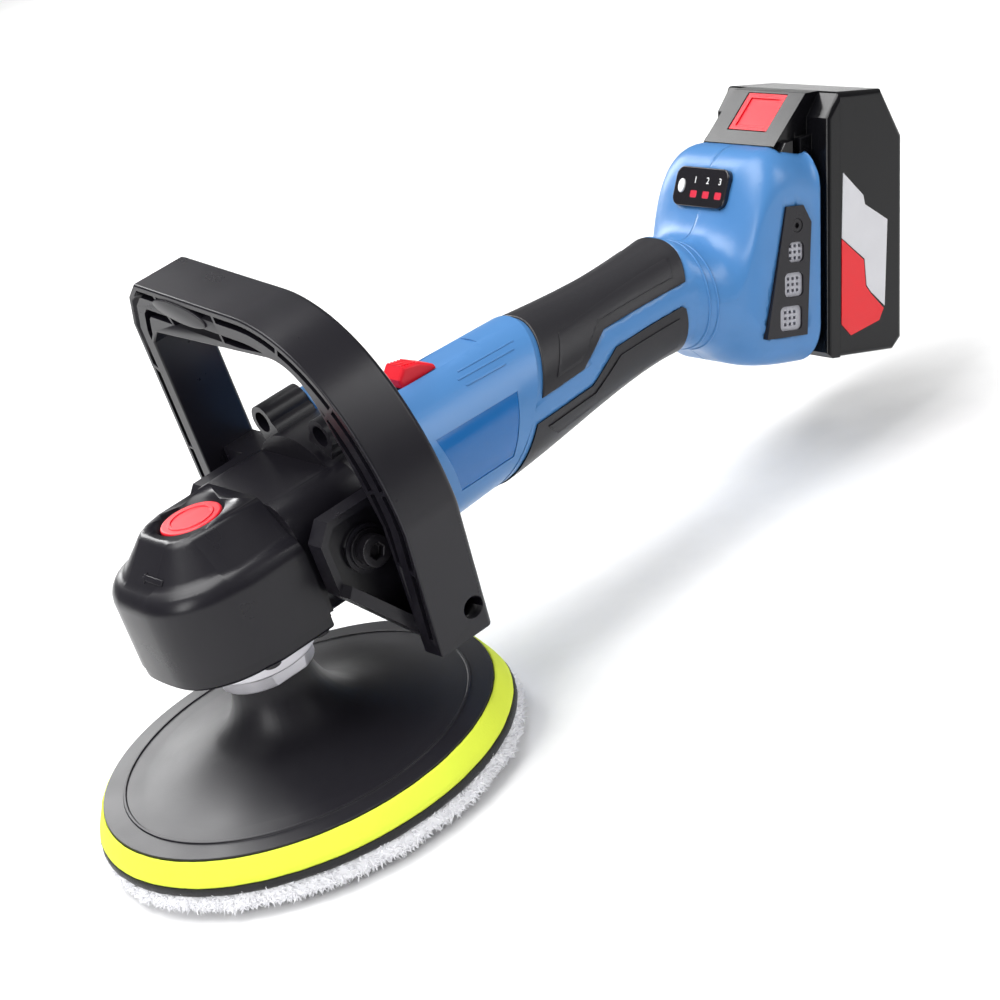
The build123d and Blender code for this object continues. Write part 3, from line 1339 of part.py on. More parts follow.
LABEL_GREY = [
    (8.6, 78.0),
    (20.4, 67.4),
    (21.4, 63.3),
    (34.8, 55.6),
    (33.2, 17.4),
    (25.2, 24.2),
    (22.4, 27.6),
    (21.2, 39.4),
    (7.8, 49.6),
]
LABEL_RED = [(7.8, 49.0), (20.7, 38.9), (21.9, 27.2), (25.0, 23.5), (32.6, 16.4), (30, 11.2), (13.1, 6.2), (7.6, 11.6)]
for outline, name in ((LABEL_GREY, "pack_label_grey"), (LABEL_RED, "pack_label_red")):
    with BuildPart() as label:
        for side in (-1, 1):
            with BuildSketch(PACK_SIDE.offset(side * PACK_HALF)):
                with BuildLine():
                    Polyline(*outline, close=True)
                make_face()
            extrude(amount=side * 0.3)
    save(label.part, name)
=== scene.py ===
import json
from math import cos, pi, radians, sin

import bmesh
import bpy
from mathutils import Matrix, Vector, noise
from mathutils.bvhtree import BVHTree

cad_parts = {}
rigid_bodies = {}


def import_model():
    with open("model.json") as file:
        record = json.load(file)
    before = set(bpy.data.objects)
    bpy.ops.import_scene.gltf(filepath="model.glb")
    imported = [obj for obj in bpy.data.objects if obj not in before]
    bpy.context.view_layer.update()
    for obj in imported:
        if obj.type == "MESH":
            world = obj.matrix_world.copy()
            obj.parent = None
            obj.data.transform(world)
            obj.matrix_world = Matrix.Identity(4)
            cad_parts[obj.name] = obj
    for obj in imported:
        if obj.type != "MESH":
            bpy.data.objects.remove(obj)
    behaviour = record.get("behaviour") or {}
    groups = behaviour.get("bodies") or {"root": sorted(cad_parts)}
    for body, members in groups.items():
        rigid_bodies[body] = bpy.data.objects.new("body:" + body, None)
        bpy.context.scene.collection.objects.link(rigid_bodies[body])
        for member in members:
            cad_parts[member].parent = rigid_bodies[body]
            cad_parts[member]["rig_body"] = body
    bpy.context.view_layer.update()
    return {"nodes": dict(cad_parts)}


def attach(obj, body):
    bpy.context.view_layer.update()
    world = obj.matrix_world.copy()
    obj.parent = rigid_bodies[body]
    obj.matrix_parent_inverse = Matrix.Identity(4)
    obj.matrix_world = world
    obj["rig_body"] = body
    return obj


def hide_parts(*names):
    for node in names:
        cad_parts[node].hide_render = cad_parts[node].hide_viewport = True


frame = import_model()

# CAD frame: origin in the middle of the polishing face, +Z up the spindle, +Y back to the battery.
# Sizes given in millimetres are turned into metres by MM where they reach a mesh.
MM = 0.001
WOOL_TOP = 10.6
HOOK_TOP = 14.0
FOAM_SEAT = 20.5
PAD_RADIUS = 90.0
HANDLE_FRONT = 40.0
HANDLE_BACK = 67.0


# ---------------------------------------------------------------- camera and studio
def put_in_scene(thing):
    """Adds an object to the scene."""
    bpy.context.scene.collection.objects.link(thing)
    return thing


def place_camera():
    """Long-lens camera above the pad and to its side, rolled so that the tool rises to the right."""
    azimuth, elevation, roll = radians(60.5), radians(23.8), radians(-21.0)
    stand = (0.9597, -0.4151, 0.5476)
    back = Vector((sin(azimuth) * cos(elevation), -cos(azimuth) * cos(elevation), sin(elevation)))
    level = Vector((cos(azimuth), sin(azimuth), 0))
    upright = back.cross(level)
    right = level * cos(roll) + upright * sin(roll)
    up = upright * cos(roll) - level * sin(roll)
    pose = Matrix((right, up, back)).transposed().to_4x4()
    pose.translation = stand
    data = bpy.data.cameras.new("camera")
    data.lens = 102.7
    data.sensor_width = 36
    data.clip_start = 0.01
    camera = put_in_scene(bpy.data.objects.new("camera", data))
    camera.matrix_world = pose
    bpy.context.scene.camera = camera


def add_softbox(name, at, aim, size, power):
    """Rectangular studio light, turned to a point."""
    data = bpy.data.lights.new(name, "AREA")
    data.shape = "RECTANGLE"
    data.size, data.size_y = size
    data.energy = power
    light = put_in_scene(bpy.data.objects.new(name, data))
    light.location = at
    light.rotation_euler = (Vector(aim) - Vector(at)).to_track_quat("-Z", "Y").to_euler()


def build_studio():
    """Pale floor, white surroundings and large soft lights."""
    scene = bpy.context.scene
    scene.view_settings.view_transform = "Standard"
    world = bpy.data.worlds.new("surroundings")
    world.use_nodes = True
    background = world.node_tree.nodes["Background"]
    background.inputs["Color"].default_value = (1.0, 1.0, 1.0, 1)
    background.inputs["Strength"].default_value = 0.22
    scene.world = world
    tool_middle = (0, 0.13, 0.09)
    softboxes = {
        "softbox_top": ((-0.3, -0.1, 1.5), (1.3, 0.9), 25),
        "softbox_front": ((0.5, -1.4, 0.9), (0.5, 1.0), 12),
        "softbox_side": ((1.3, 1.2, 1.1), (0.5, 1.2), 11),
        "softbox_left": ((-1.4, 0.3, 0.8), (0.4, 1.2), 12),
    }
    for name, (at, size, power) in softboxes.items():
        add_softbox(name, at, tool_middle, size, power)
    sky = bpy.data.lights.new("overhead_sheet", "SUN")
    sky.energy = 0.45
    sky.angle = radians(120)
    put_in_scene(bpy.data.objects.new("overhead_sheet", sky))
    reach, below_wool = 8, 1.2
    mesh = bpy.data.meshes.new("studio_floor")
    corners = [(-reach, -reach, 0), (reach, -reach, 0), (reach, reach, 0), (-reach, reach, 0)]
    mesh.from_pydata(corners, [], [(0, 1, 2, 3)])
    floor = bpy.data.objects.new("studio_floor", mesh)
    floor.location.z = -below_wool * MM
    put_in_scene(floor)
    mesh.materials.append(make_finish("studio_floor", (0.93, 0.93, 0.93), 0.8))


# ---------------------------------------------------------------- materials
def make_finish(name, colour, rough, metal=0.0, grain=0.0, grain_mm=0.5, mottle=0.04, coat=0.0, sheen=0.0,
                shine=0.5):
    """Procedural finish: a base colour with faint mottling, uneven roughness and a fine grain."""
    patchiness, rough_swing, bump_share = 55, 0.05, 0.3
    material = bpy.data.materials.new(name)
    material.use_nodes = True
    nodes, links = material.node_tree.nodes, material.node_tree.links
    shader = nodes["Principled BSDF"]
    shader.inputs["Metallic"].default_value = metal
    shader.inputs["Coat Weight"].default_value = coat
    shader.inputs["Coat Roughness"].default_value = 0.12
    shader.inputs["Sheen Weight"].default_value = sheen
    shader.inputs["Specular IOR Level"].default_value = shine
    place = nodes.new("ShaderNodeTexCoord")
    patches = nodes.new("ShaderNodeTexNoise")
    patches.inputs["Scale"].default_value = patchiness
    patches.inputs["Detail"].default_value = 4
    links.new(place.outputs["Object"], patches.inputs["Vector"])
    shade = nodes.new("ShaderNodeMix")
    shade.data_type = "RGBA"
    shade.inputs["A"].default_value = (*[c * (1 - mottle) for c in colour], 1)
    shade.inputs["B"].default_value = (*[min(1, c * (1 + mottle)) for c in colour], 1)
    links.new(patches.outputs["Fac"], shade.inputs["Factor"])
    links.new(shade.outputs["Result"], shader.inputs["Base Color"])
    wear = nodes.new("ShaderNodeMapRange")
    wear.inputs["To Min"].default_value = max(0.02, rough - rough_swing)
    wear.inputs["To Max"].default_value = min(1, rough + rough_swing)
    links.new(patches.outputs["Fac"], wear.inputs["Value"])
    links.new(wear.outputs["Result"], shader.inputs["Roughness"])
    if grain:
        speck = nodes.new("ShaderNodeTexNoise")
        speck.inputs["Scale"].default_value = 1000 / grain_mm
        speck.inputs["Detail"].default_value = 2
        links.new(place.outputs["Object"], speck.inputs["Vector"])
        bump = nodes.new("ShaderNodeBump")
        bump.inputs["Strength"].default_value = grain
        bump.inputs["Distance"].default_value = grain_mm * MM * bump_share
        links.new(speck.outputs["Fac"], bump.inputs["Height"])
        links.new(bump.outputs["Normal"], shader.inputs["Normal"])
    return material


FINISHES = {
    "bonnet_wool": dict(colour=(0.9, 0.9, 0.93), rough=0.95, sheen=0.4, mottle=0.05),
    "hook_fabric": dict(colour=(0.012, 0.012, 0.014), rough=0.9, grain=0.8, grain_mm=0.8, sheen=0.2),
    "foam": dict(colour=(0.78, 0.90, 0.06), rough=0.85, grain=0.5, grain_mm=1.1, mottle=0.05),
    "pad_rubber": dict(colour=(0.012, 0.011, 0.015), rough=0.4, shine=0.3, grain=0.08, grain_mm=0.8),
    "steel": dict(colour=(0.6, 0.6, 0.62), rough=0.28, metal=1.0),
    "flange_metal": dict(colour=(0.62, 0.61, 0.65), rough=0.34, metal=0.85, grain=0.15, grain_mm=0.6),
    "dark_steel": dict(colour=(0.012, 0.011, 0.014), rough=0.28, metal=0.4),
    "case_metal": dict(colour=(0.008, 0.0072, 0.0105), rough=0.3, shine=0.32, grain=0.12, grain_mm=0.5),
    "black_plastic": dict(colour=(0.009, 0.0082, 0.0118), rough=0.29, shine=0.32, grain=0.08, grain_mm=0.45),
    "blue_plastic": dict(colour=(0.06, 0.205, 0.47), rough=0.34, grain=0.08, grain_mm=0.4),
    "grip_rubber": dict(colour=(0.0095, 0.0088, 0.012), rough=0.42, shine=0.4, grain=0.35, grain_mm=0.5),
    "red_plastic": dict(colour=(0.74, 0.006, 0.02), rough=0.38, shine=0.35),
    "white_plastic": dict(colour=(0.88, 0.88, 0.88), rough=0.25),
    "display_plastic": dict(colour=(0.005, 0.004, 0.007), rough=0.14, coat=0.4),
    "lamp": dict(colour=(0.6, 0.02, 0.05), rough=0.3),
    "vent_mesh": dict(colour=(0.36, 0.36, 0.4), rough=0.5, grain=0.5, grain_mm=0.5),
    "pack_plastic": dict(colour=(0.003, 0.003, 0.004), rough=0.22, shine=0.25, coat=0.1, grain=0.04,
                         grain_mm=0.5),
    "label_grey": dict(colour=(0.6, 0.6, 0.63), rough=0.35),
    "label_red": dict(colour=(0.72, 0.0, 0.008), rough=0.3),
    "copper": dict(colour=(0.7, 0.3, 0.12), rough=0.3, metal=0.9),
    "laminations": dict(colour=(0.35, 0.35, 0.37), rough=0.4, metal=0.9),
    "magnet": dict(colour=(0.5, 0.5, 0.53), rough=0.2, metal=1.0),
    "board": dict(colour=(0.02, 0.16, 0.07), rough=0.4),
    "cell_wrap": dict(colour=(0.06, 0.25, 0.45), rough=0.35),
    "nickel": dict(colour=(0.65, 0.62, 0.58), rough=0.22, metal=1.0),
    "inner_plastic": dict(colour=(0.02, 0.02, 0.02), rough=0.5),
    "panel_blue": dict(colour=(0.0, 0.125, 0.40), rough=0.22, coat=0.2),
}
FINISH = {name: make_finish(name, **look) for name, look in FINISHES.items()}


def dress_cad_nodes():
    """Every CAD node takes the procedural finish of its material slot."""
    for node in frame["nodes"].values():
        for spot in node.material_slots:
            name = spot.material.name.split(".")[0]
            if name in FINISH:
                spot.material = FINISH[name]


# ---------------------------------------------------------------- mesh helpers
def mesh_of(name, shape, smooth=True):
    """The mesh of a built shape, with its faces turned outwards."""
    bmesh.ops.recalc_face_normals(shape, faces=shape.faces)
    if smooth:
        for face in shape.faces:
            face.smooth = True
    mesh = bpy.data.meshes.new(name)
    shape.to_mesh(mesh)
    shape.free()
    return mesh


def merged_shape(source):
    """The CAD mesh of one part with its doubled points joined, so that its edges can be rounded."""
    shape = bmesh.new()
    shape.from_mesh(source.data)
    bmesh.ops.remove_doubles(shape, verts=shape.verts, dist=0.01 * MM)
    return shape


def join_flat_faces(shape):
    """Joins the triangles that lie in one plane."""
    same_plane = radians(0.6)
    bmesh.ops.dissolve_limit(shape, angle_limit=same_plane, verts=shape.verts, edges=shape.edges)


def new_piece(name, mesh, body, slot):
    """A piece of the visual model: its mesh, the body it rides on and the slot of its finish."""
    piece = put_in_scene(bpy.data.objects.new(name, mesh))
    if not mesh.materials:
        mesh.materials.append(FINISH[slot])
    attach(piece, body)
    return piece


def bake_modifiers(piece):
    """Replaces the mesh of a piece by what its modifiers make of it."""
    bpy.context.view_layer.update()
    graph = bpy.context.evaluated_depsgraph_get()
    mesh = bpy.data.meshes.new_from_object(piece.evaluated_get(graph), depsgraph=graph)
    piece.modifiers.clear()
    piece.data = mesh


def round_edges(piece, width, segments, angle=30):
    """Rounds every edge of a piece that turns by more than the angle."""
    bevel = piece.modifiers.new("round", "BEVEL")
    bevel.width = width * MM
    bevel.segments = segments
    bevel.limit_method = "ANGLE"
    bevel.angle_limit = radians(angle)
    bake_modifiers(piece)


def weight_shading(piece):
    """Lets the large faces lead the shading, as on a moulding."""
    weighted = piece.modifiers.new("shading", "WEIGHTED_NORMAL")
    weighted.keep_sharp = True
    bake_modifiers(piece)


def soften(node, width):
    """A merged copy of one CAD part, shown in its place. A width in mm rounds its edges, 0 leaves them."""
    source = frame["nodes"][node]
    shape = merged_shape(source)
    if width:
        join_flat_faces(shape)
    slot = source.material_slots[0].material.name.split(".")[0]
    piece = new_piece(node + "_soft", mesh_of(node + "_soft", shape), source["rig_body"], slot)
    if width:
        round_edges(piece, width, 3, 32)
    piece.data.set_sharp_from_angle(angle=radians(42))
    weight_shading(piece)
    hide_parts(node)


def lathe(name, profile, steps=180, lumps=0.0, grain=90.0, seed=0.0):
    """Closed profile turned round the spindle, with lumps in mm. The underside stays nearly flat."""
    underside, deepest = 1, -0.2 * MM
    shape = bmesh.new()
    rings = []
    for r, z in profile:
        if r == 0:
            rings.append([shape.verts.new((0, 0, z * MM))])
            continue
        ring = []
        for k in range(steps):
            a = 2 * pi * k / steps
            point = Vector((r * cos(a), r * sin(a), z)) * MM
            if lumps:
                out = noise.noise(point * grain + Vector((seed, 0, 0))) + 0.5 * noise.noise(point * grain * 2.3)
                push = Vector((cos(a), sin(a), 0)) * lumps * MM * out
                drop = noise.noise(point * grain * 0.8 + Vector((0, 7 + seed, 0))) * lumps * MM * 0.6
                point += push + Vector((0, 0, max(drop, deepest) if z < underside else drop))
            ring.append(shape.verts.new(point))
        rings.append(ring)
    for low, high in zip(rings, rings[1:]):
        for k in range(steps):
            n = (k + 1) % steps
            if len(low) == 1:
                shape.faces.new((low[0], high[n], high[k]))
            elif len(high) == 1:
                shape.faces.new((low[k], low[n], high[0]))
            else:
                shape.faces.new((low[k], low[n], high[n], high[k]))
    return mesh_of(name, shape)


def start_tree(name, sockets):
    """Geometry Nodes tree with geometry in and out, and the named inputs given with their kinds."""
    tree = bpy.data.node_groups.new(name, "GeometryNodeTree")
    tree.interface.new_socket("Geometry", in_out="INPUT", socket_type="NodeSocketGeometry")
    for label, kind in sockets.items():
        tree.interface.new_socket(label, in_out="INPUT", socket_type="NodeSocket" + kind)
    tree.interface.new_socket("Geometry", in_out="OUTPUT", socket_type="NodeSocketGeometry")
    return tree


def end_tree(tree, given, plant):
    """Makes the planted copies real, in the material given, and sends them out."""
    nodes, links = tree.nodes, tree.links
    real = nodes.new("GeometryNodeRealizeInstances")
    paint = nodes.new("GeometryNodeSetMaterial")
    made = nodes.new("NodeGroupOutput")
    links.new(plant.outputs["Instances"], real.inputs["Geometry"])
    links.new(real.outputs["Geometry"], paint.inputs["Geometry"])
    links.new(given.outputs["Material"], paint.inputs["Material"])
    links.new(paint.outputs["Geometry"], made.inputs["Geometry"])
    return tree


def scatter_tree(name):
    """Geometry Nodes tree that covers a surface with short tapered fibres."""
    sockets = {label: "Float" for label in ("Density", "Length", "Thickness", "Lean")}
    tree = start_tree(name, {**sockets, "Seed": "Int", "Material": "Material"})
    nodes, links = tree.nodes, tree.links
    given = nodes.new("NodeGroupInput")
    spread = nodes.new("GeometryNodeDistributePointsOnFaces")
    links.new(given.outputs["Geometry"], spread.inputs["Mesh"])
    links.new(given.outputs["Density"], spread.inputs["Density"])
    links.new(given.outputs["Seed"], spread.inputs["Seed"])
    fibre = nodes.new("GeometryNodeMeshCone")
    fibre.fill_type = "NONE"
    fibre.inputs["Vertices"].default_value = 3
    fibre.inputs["Side Segments"].default_value = 1
    fibre.inputs["Radius Top"].default_value = 0.0
    links.new(given.outputs["Thickness"], fibre.inputs["Radius Bottom"])
    links.new(given.outputs["Length"], fibre.inputs["Depth"])
    tilt = nodes.new("FunctionNodeRandomValue")
    tilt.data_type = "FLOAT_VECTOR"
    low = nodes.new("ShaderNodeCombineXYZ")
    minus = nodes.new("ShaderNodeMath")
    minus.operation = "MULTIPLY"
    minus.inputs[1].default_value = -1.0
    links.new(given.outputs["Lean"], minus.inputs[0])
    for axis in ("X", "Y"):
        links.new(minus.outputs[0], low.inputs[axis])
    high = nodes.new("ShaderNodeCombineXYZ")
    for axis in ("X", "Y", "Z"):
        links.new(given.outputs["Lean"], high.inputs[axis])
    links.new(low.outputs[0], tilt.inputs["Min"])
    links.new(high.outputs[0], tilt.inputs["Max"])
    links.new(given.outputs["Seed"], tilt.inputs["Seed"])
    turn = nodes.new("FunctionNodeRotateRotation")
    turn.rotation_space = "LOCAL"
    links.new(spread.outputs["Rotation"], turn.inputs["Rotation"])
    links.new(tilt.outputs["Value"], turn.inputs["Rotate By"])
    shortest, longest = 0.55, 1.25
    size = nodes.new("FunctionNodeRandomValue")
    size.data_type = "FLOAT"
    size.inputs[2].default_value = shortest
    size.inputs[3].default_value = longest
    plant = nodes.new("GeometryNodeInstanceOnPoints")
    links.new(spread.outputs["Points"], plant.inputs["Points"])
    links.new(fibre.outputs["Mesh"], plant.inputs["Instance"])
    links.new(turn.outputs["Rotation"], plant.inputs["Rotation"])
    links.new(size.outputs[1], plant.inputs["Scale"])
    return end_tree(tree, given, plant)


def run_tree(piece, tree, **values):
    """Applies a Geometry Nodes tree to a piece, with its inputs set by name."""
    live = piece.modifiers.new("nodes", "NODES")
    live.node_group = tree
    for item in tree.interface.items_tree:
        if item.item_type == "SOCKET" and item.in_out == "INPUT" and item.name in values:
            live[item.identifier] = values[item.name]
    bake_modifiers(piece)


# ---------------------------------------------------------------- polishing pad
def build_wool_bonnet():
    """Lumpy wool cover with a pile of short fibres."""
    face = 2.4
    under = [(r, face) for r in (0, 15, 30, 45, 60, 72, 79)]
    side = [(84, 2.5), (87.5, 2.8), (89.4, 3.8), (90.2, 5.6), (PAD_RADIUS, 7.8), (89.4, 10.2)]
    profile = under + side + [(80, WOOL_TOP), (0, WOOL_TOP)]
    bonnet = new_piece("wool_body", lathe("wool_body", profile, 220, 1.3, 120), "spindle_body", "bonnet_wool")
    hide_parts("wool_bonnet")
    pile = new_piece("wool_pile", bonnet.data.copy(), "spindle_body", "bonnet_wool")
    run_tree(pile, scatter_tree("fibres"), Density=640000.0, Length=0.0027, Thickness=0.0005, Lean=0.9, Seed=4,
             Material=FINISH["bonnet_wool"])


def build_hook_layer():
    """Black hook and loop disc with a fuzzy edge."""
    edge = [(90.2, 10.7), (90.7, 11.6), (90.6, 13.0), (PAD_RADIUS, 13.95)]
    profile = [(0, WOOL_TOP), (86, WOOL_TOP)] + edge + [(86, HOOK_TOP), (0, HOOK_TOP)]
    mesh = lathe("hook_disc", profile, 260, 0.28, 420, 3.0)
    disc = new_piece("hook_disc", mesh, "spindle_body", "hook_fabric")
    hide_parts("hook_layer")


def build_foam_layer():
    """Foam disc with a soft slanting edge, a glued lip and open cells."""
    slant = [(89.4, 14.1), (PAD_RADIUS, 15.0), (88.9, 17.4), (87.3, 20.2), (86.1, 22.6)]
    lip = [(85.5, 23.4), (84.9, 23.5), (84.7, 23.0), (84.65, FOAM_SEAT)]
    profile = [(0, HOOK_TOP), (87, HOOK_TOP)] + slant + lip + [(0, FOAM_SEAT)]
    disc = new_piece("foam_disc", lathe("foam_disc", profile, 300, 0.16, 160, 5.0), "spindle_body", "foam")
    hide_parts("foam_layer")


# ---------------------------------------------------------------- details laid on the moulded parts
def target_of(*nodes):
    """Search tree of some CAD parts, for laying details on their skin."""
    verts, polys = [], []
    for node in nodes:
        mesh = frame["nodes"][node].data
        start = len(verts)
        verts += [v.co.copy() for v in mesh.vertices]
        polys += [[start + i for i in face.vertices] for face in mesh.polygons]
    return BVHTree.FromPolygons(verts, polys)


def lay_patch(name, outline, spot, u, v, nodes, lift, slot, body, cell=2.0, sink=0.3):
    """A raised patch that follows the skin under it. The outline is drawn at spot along u and v, in mm."""
    u, v = Vector(u).normalized(), Vector(v).normalized()
    towards = -u.cross(v)
    shape = bmesh.new()
    shape.faces.new([shape.verts.new((a, b, 0)) for a, b in outline])
    for axis, values in ((0, [a for a, _ in outline]), (1, [b for _, b in outline])):
        step = min(values) + cell
        while step < max(values):
            normal = Vector((1, 0, 0)) if axis == 0 else Vector((0, 1, 0))
            bmesh.ops.bisect_plane(shape, geom=shape.verts[:] + shape.edges[:] + shape.faces[:],
                                   plane_co=normal * step, plane_no=normal)
            step += cell
    tree = target_of(*nodes)
    top = {}
    for vert in shape.verts:
        start = (Vector(spot) + u * vert.co.x + v * vert.co.y) * MM
        hit, normal, _, _ = tree.ray_cast(start, towards)
        if hit is None:
            hit, normal, _, _ = tree.find_nearest(start)
        if normal.dot(towards) > 0:
            normal = -normal
        top[vert] = (hit, normal)
    for vert, (hit, normal) in top.items():
        vert.co = hit + normal * lift * MM
    shell = bmesh.ops.extrude_face_region(shape, geom=shape.faces[:])
    moved = {g for g in shell["geom"] if isinstance(g, bmesh.types.BMVert)}
    for vert in shape.verts:
        if vert not in moved and vert in top:
            vert.co = top[vert][0] - top[vert][1] * sink * MM
    piece = new_piece(name, mesh_of(name, shape), body, slot)
    round_edges(piece, min(0.3, lift * 0.6), 2, 40)
    piece.data.set_sharp_from_angle(angle=radians(50))


def ridge_tree(name):
    """Geometry Nodes tree that sets a row of equal bars along Y, centred on the origin."""
    sockets = {"Count": "Int", "Step": "Vector", "Start": "Vector", "Bar": "Vector", "Material": "Material"}
    tree = start_tree(name, sockets)
    nodes, links = tree.nodes, tree.links
    given = nodes.new("NodeGroupInput")
    row = nodes.new("GeometryNodeMeshLine")
    links.new(given.outputs["Count"], row.inputs["Count"])
    links.new(given.outputs["Start"], row.inputs["Start Location"])
    links.new(given.outputs["Step"], row.inputs["Offset"])
    bar = nodes.new("GeometryNodeMeshCube")
    links.new(given.outputs["Bar"], bar.inputs["Size"])
    plant = nodes.new("GeometryNodeInstanceOnPoints")
    links.new(row.outputs["Mesh"], plant.inputs["Points"])
    links.new(bar.outputs["Mesh"], plant.inputs["Instance"])
    return end_tree(tree, given, plant)


def lay_ridges(name, count, step, bar, place, body, slot):
    """A row of small moulded bars, set in place by a matrix."""
    piece = new_piece(name, bpy.data.meshes.new(name), body, slot)
    start = tuple(-0.5 * (count - 1) * v * MM for v in step)
    run_tree(piece, ridge_tree(name + "_row"), Count=count, Step=tuple(v * MM for v in step), Start=start,
             Bar=tuple(v * MM for v in bar), Material=FINISH[slot])
    piece.data.transform(place)
    round_edges(piece, 0.18, 2)


def build_grip_panels():
    """Raised panels of the rubber grip, both sides."""
    upper = [(171, 121), (158, 108), (172.5, 107.4), (190.5, 116.4), (233, 114.6), (238, 121)]
    lower = [(146, 91.5), (175.0, 90.8), (193.0, 99.2), (227.5, 98.0), (225.5, 85), (151, 85)]
    for label, outline, node in (("upper", upper, "grip_pad_upper"), ("lower", lower, "grip_pad_lower")):
        lay_patch(f"grip_{label}_left", outline, (60, 0, 0), (0, 1, 0), (0, 0, 1), [node], 0.55, "grip_rubber",
                  "tool_body")
        mirrored = [(-y, z) for y, z in outline]
        lay_patch(f"grip_{label}_right", mirrored, (-60, 0, 0), (0, -1, 0), (0, 0, 1), [node], 0.55,
                  "grip_rubber", "tool_body")


def build_barrel_beads():
    """Fine moulded lines along the top of the motor housing."""
    half = 0.35
    for k, (x, start, end) in enumerate([(15.5, 122, 152), (18.5, 119, 149), (21.5, 120, 141)]):
        for side in (-1, 1):
            cx = side * x
            outline = [(cx - half, start), (cx + half, start), (cx + half, end), (cx - half, end)]
            lay_patch(f"barrel_bead_{k}_{'left' if side > 0 else 'right'}", outline, (0, 0, 170), (1, 0, 0),
                      (0, 1, 0), ["motor_housing"], half, "blue_plastic", "tool_body", cell=6)


def build_switch_ridges():
    """Grip ridges across the switch knob."""
    knob_top, knob_slope = Vector((0, 107.5, 138.4)), radians(-12.7)
    place = Matrix.Translation(knob_top * MM) @ Matrix.Rotation(knob_slope, 4, "X")
    lay_ridges("switch_ridges", 5, (0, 1.6, 0), (10.5, 0.7, 1.0), place, "switch_body_moving", "red_plastic")


def build_head_arrow():
    """Small moulded arrow on the front of the head."""
    arrow = [(-7, 0), (-4.4, 2.4), (-4.4, 1.2), (6.8, 1.2), (6.8, -1.2), (-4.4, -1.2), (-4.4, -2.4)]
    lay_patch("head_arrow", arrow, (7.5, -40.8, 127.0), (1, 0, 0), (0, 0.68, 0.74), ["head_cover"], 0.5,
              "black_plastic", "tool_body", cell=3)


def build_finger_rest():
    """Raised oval that bridges the pockets on the front of the crossbar."""
    middle, half_length, half_height, slope, corners = Vector((-33, 0, 193.6)), 19, 4.4, 0.15, 40
    root, face = 43.0, 39.3
    shape = bmesh.new()
    rim = []
    for k in range(corners):
        a = 2 * pi * k / corners
        along, across = half_length * cos(a), half_height * sin(a)
        rim.append(shape.verts.new((middle + Vector((along, root, across - slope * along))) * MM))
    front = bmesh.ops.extrude_face_region(shape, geom=[shape.faces.new(rim)])
    for vert in front["geom"]:
        if isinstance(vert, bmesh.types.BMVert):
            vert.co.y = face * MM
    piece = new_piece("finger_rest", mesh_of("finger_rest", shape, smooth=False), "tool_body", "black_plastic")
    round_edges(piece, 0.6, 3)
    piece.data.set_sharp_from_angle(angle=radians(50))


def build_neck_bead(name, offset):
    """Fine moulded bead round the neck, just behind the grip pads."""
    tilt = radians(16)
    along, upward = Vector((0, cos(tilt), -sin(tilt))), Vector((0, sin(tilt), cos(tilt)))
    neck, outside, usual_radius = Vector((0, 240, 101.2)), 0.06, 0.025
    middle = (neck + along * offset) * MM
    tree = target_of("handle_shell_left", "handle_shell_right")
    shape = bmesh.new()
    rings = []
    steps, sides, thick = 120, 8, 0.55 * MM
    for k in range(steps):
        a = 2 * pi * k / steps
        out = Vector((1, 0, 0)) * cos(a) + upward * sin(a)
        hit = tree.ray_cast(middle + out * outside, -out)[0]
        centre = hit if hit is not None else middle + out * usual_radius
        ring = []
        for n in range(sides):
            b = 2 * pi * n / sides
            ring.append(shape.verts.new(centre + (out * cos(b) + along * sin(b)) * thick))
        rings.append(ring)
    for k in range(steps):
        for n in range(sides):
            m = (n + 1) % sides
            ahead = rings[(k + 1) % steps]
            shape.faces.new((rings[k][n], rings[k][m], ahead[m], ahead[n]))
    new_piece(name, mesh_of(name, shape), "tool_body", "blue_plastic")


def build_display_marks():
    """Speed numbers on the display."""
    tilt = radians(52)
    base = Matrix(((1, 0, 0), (0, cos(tilt), sin(tilt)), (0, -sin(tilt), cos(tilt)))).transposed().to_4x4()
    base.translation = (0, 0.2783, 0.1332)
    first, pitch, height, rise = -3.7, 8.2, 1.6, 1.06
    for k in range(3):
        name = f"speed_number_{k + 1}"
        text = bpy.data.curves.new(name, "FONT")
        text.body = str(k + 1)
        text.size = 4.2 * MM
        text.extrude = 0.08 * MM
        text.align_x = "CENTER"
        carrier = put_in_scene(bpy.data.objects.new(name, text))
        bpy.context.view_layer.update()
        mesh = bpy.data.meshes.new_from_object(carrier)
        bpy.data.objects.remove(carrier)
        mesh.transform(base @ Matrix.Translation(Vector((first + pitch * k, height, rise)) * MM))
        mesh.materials.clear()
        new_piece(name, mesh, "tool_body", "white_plastic")


def handle_rim(shape, level, inward):
    """The long outer and inner edges of the D-handle's flat face at one level, without those of its pockets."""
    tree = target_of("d_handle")
    ear_top, ear_inside, feeler, reach = 0.12, 0.0605, 0.2 * MM, 0.02
    rim = []
    for edge in shape.edges:
        off_level = max(abs(v.co.y / MM - level) for v in edge.verts)
        if off_level > 0.05 or len(edge.link_faces) != 2:
            continue
        wall = min(edge.link_faces, key=lambda f: abs(f.normal.y))
        flat = max(edge.link_faces, key=lambda f: abs(f.normal.y))
        if abs(wall.normal.y) > 0.3 or abs(flat.normal.y) < 0.9:
            continue
        middle = (edge.verts[0].co + edge.verts[1].co) / 2 + Vector((0, inward * MM, 0))
        if middle.z < ear_top and abs(middle.x) < ear_inside:
            continue
        if tree.ray_cast(middle + wall.normal * feeler, wall.normal, reach)[0] is None:
            rim.append(edge)
    return rim


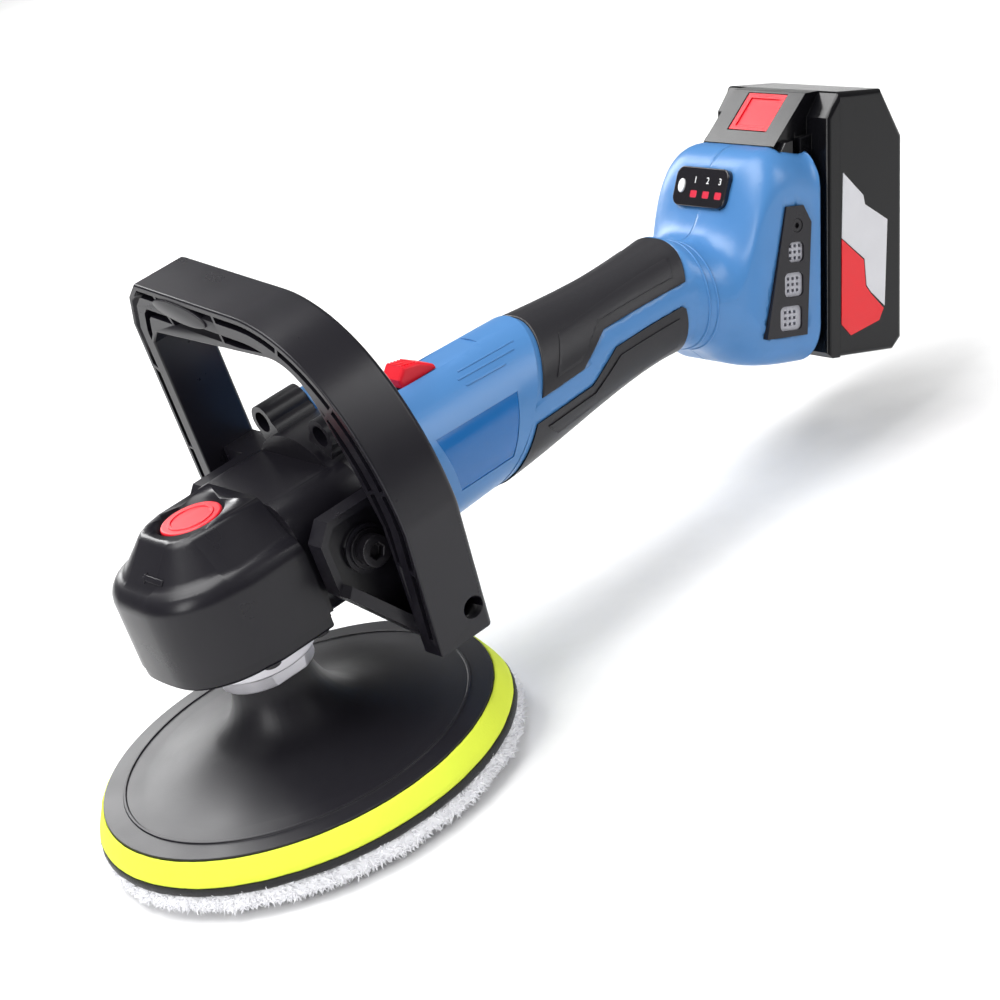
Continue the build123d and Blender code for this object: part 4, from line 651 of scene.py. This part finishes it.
def round_d_handle():
    """The D-handle: long edges well rounded at the back, less at the front, pockets left crisp."""
    shape = merged_shape(frame["nodes"]["d_handle"])
    join_flat_faces(shape)
    bmesh.ops.recalc_face_normals(shape, faces=shape.faces)
    rims = [(handle_rim(shape, HANDLE_BACK, -3.0), 2.6), (handle_rim(shape, HANDLE_FRONT, 3.0), 0.9)]
    for rim, width in rims:
        bmesh.ops.bevel(shape, geom=rim, offset=width * MM, offset_type="OFFSET", segments=4,
                        profile=0.5, affect="EDGES", clamp_overlap=False)
    for face in shape.faces:
        face.smooth = True
    mesh = bpy.data.meshes.new("d_handle_soft")
    shape.to_mesh(mesh)
    shape.free()
    mesh.set_sharp_from_angle(angle=radians(32))
    piece = new_piece("d_handle_soft", mesh, "tool_body", "black_plastic")
    weight_shading(piece)
    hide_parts("d_handle")


# ---------------------------------------------------------------- assembly of the visual model
def build_softened_shells():
    """The moulded, cast and turned parts, each with the width in mm of its rounded edges."""
    widths = {
        "backing_pad": 0.5, "spindle_flange": 0.4, "head_cover": 0, "bearing_retainer": 0.5, "gear_case": 0.8,
        "lock_button": 0.3, "motor_housing": 0.5, "side_panels": 0.15, "switch_knob": 0.5,
        "handle_shell_left": 0, "handle_shell_right": 0, "grip_pad_upper": 0.5, "grip_pad_lower": 0.5,
        "display_panel": 0.3, "speed_button": 0.2, "vent_panels": 0.4, "vent_screws": 0.15,
        "handle_bolts": 0.4, "handle_washers": 0.2, "case_screws": 0.3, "retainer_screws": 0.3,
        "shell_screws": 0.2,
        "pack_front_case": 0.8, "pack_rear_case": 1.0, "release_button": 0.6,
    }
    for node, width in widths.items():
        soften(node, width)


place_camera()
build_studio()
dress_cad_nodes()
build_softened_shells()
build_wool_bonnet()
build_hook_layer()
build_foam_layer()
round_d_handle()
build_grip_panels()
build_barrel_beads()
build_switch_ridges()
build_head_arrow()
build_finger_rest()
build_neck_bead("neck_bead_front", 4.0)
build_neck_bead("neck_bead_rear", 7.5)
build_display_marks()
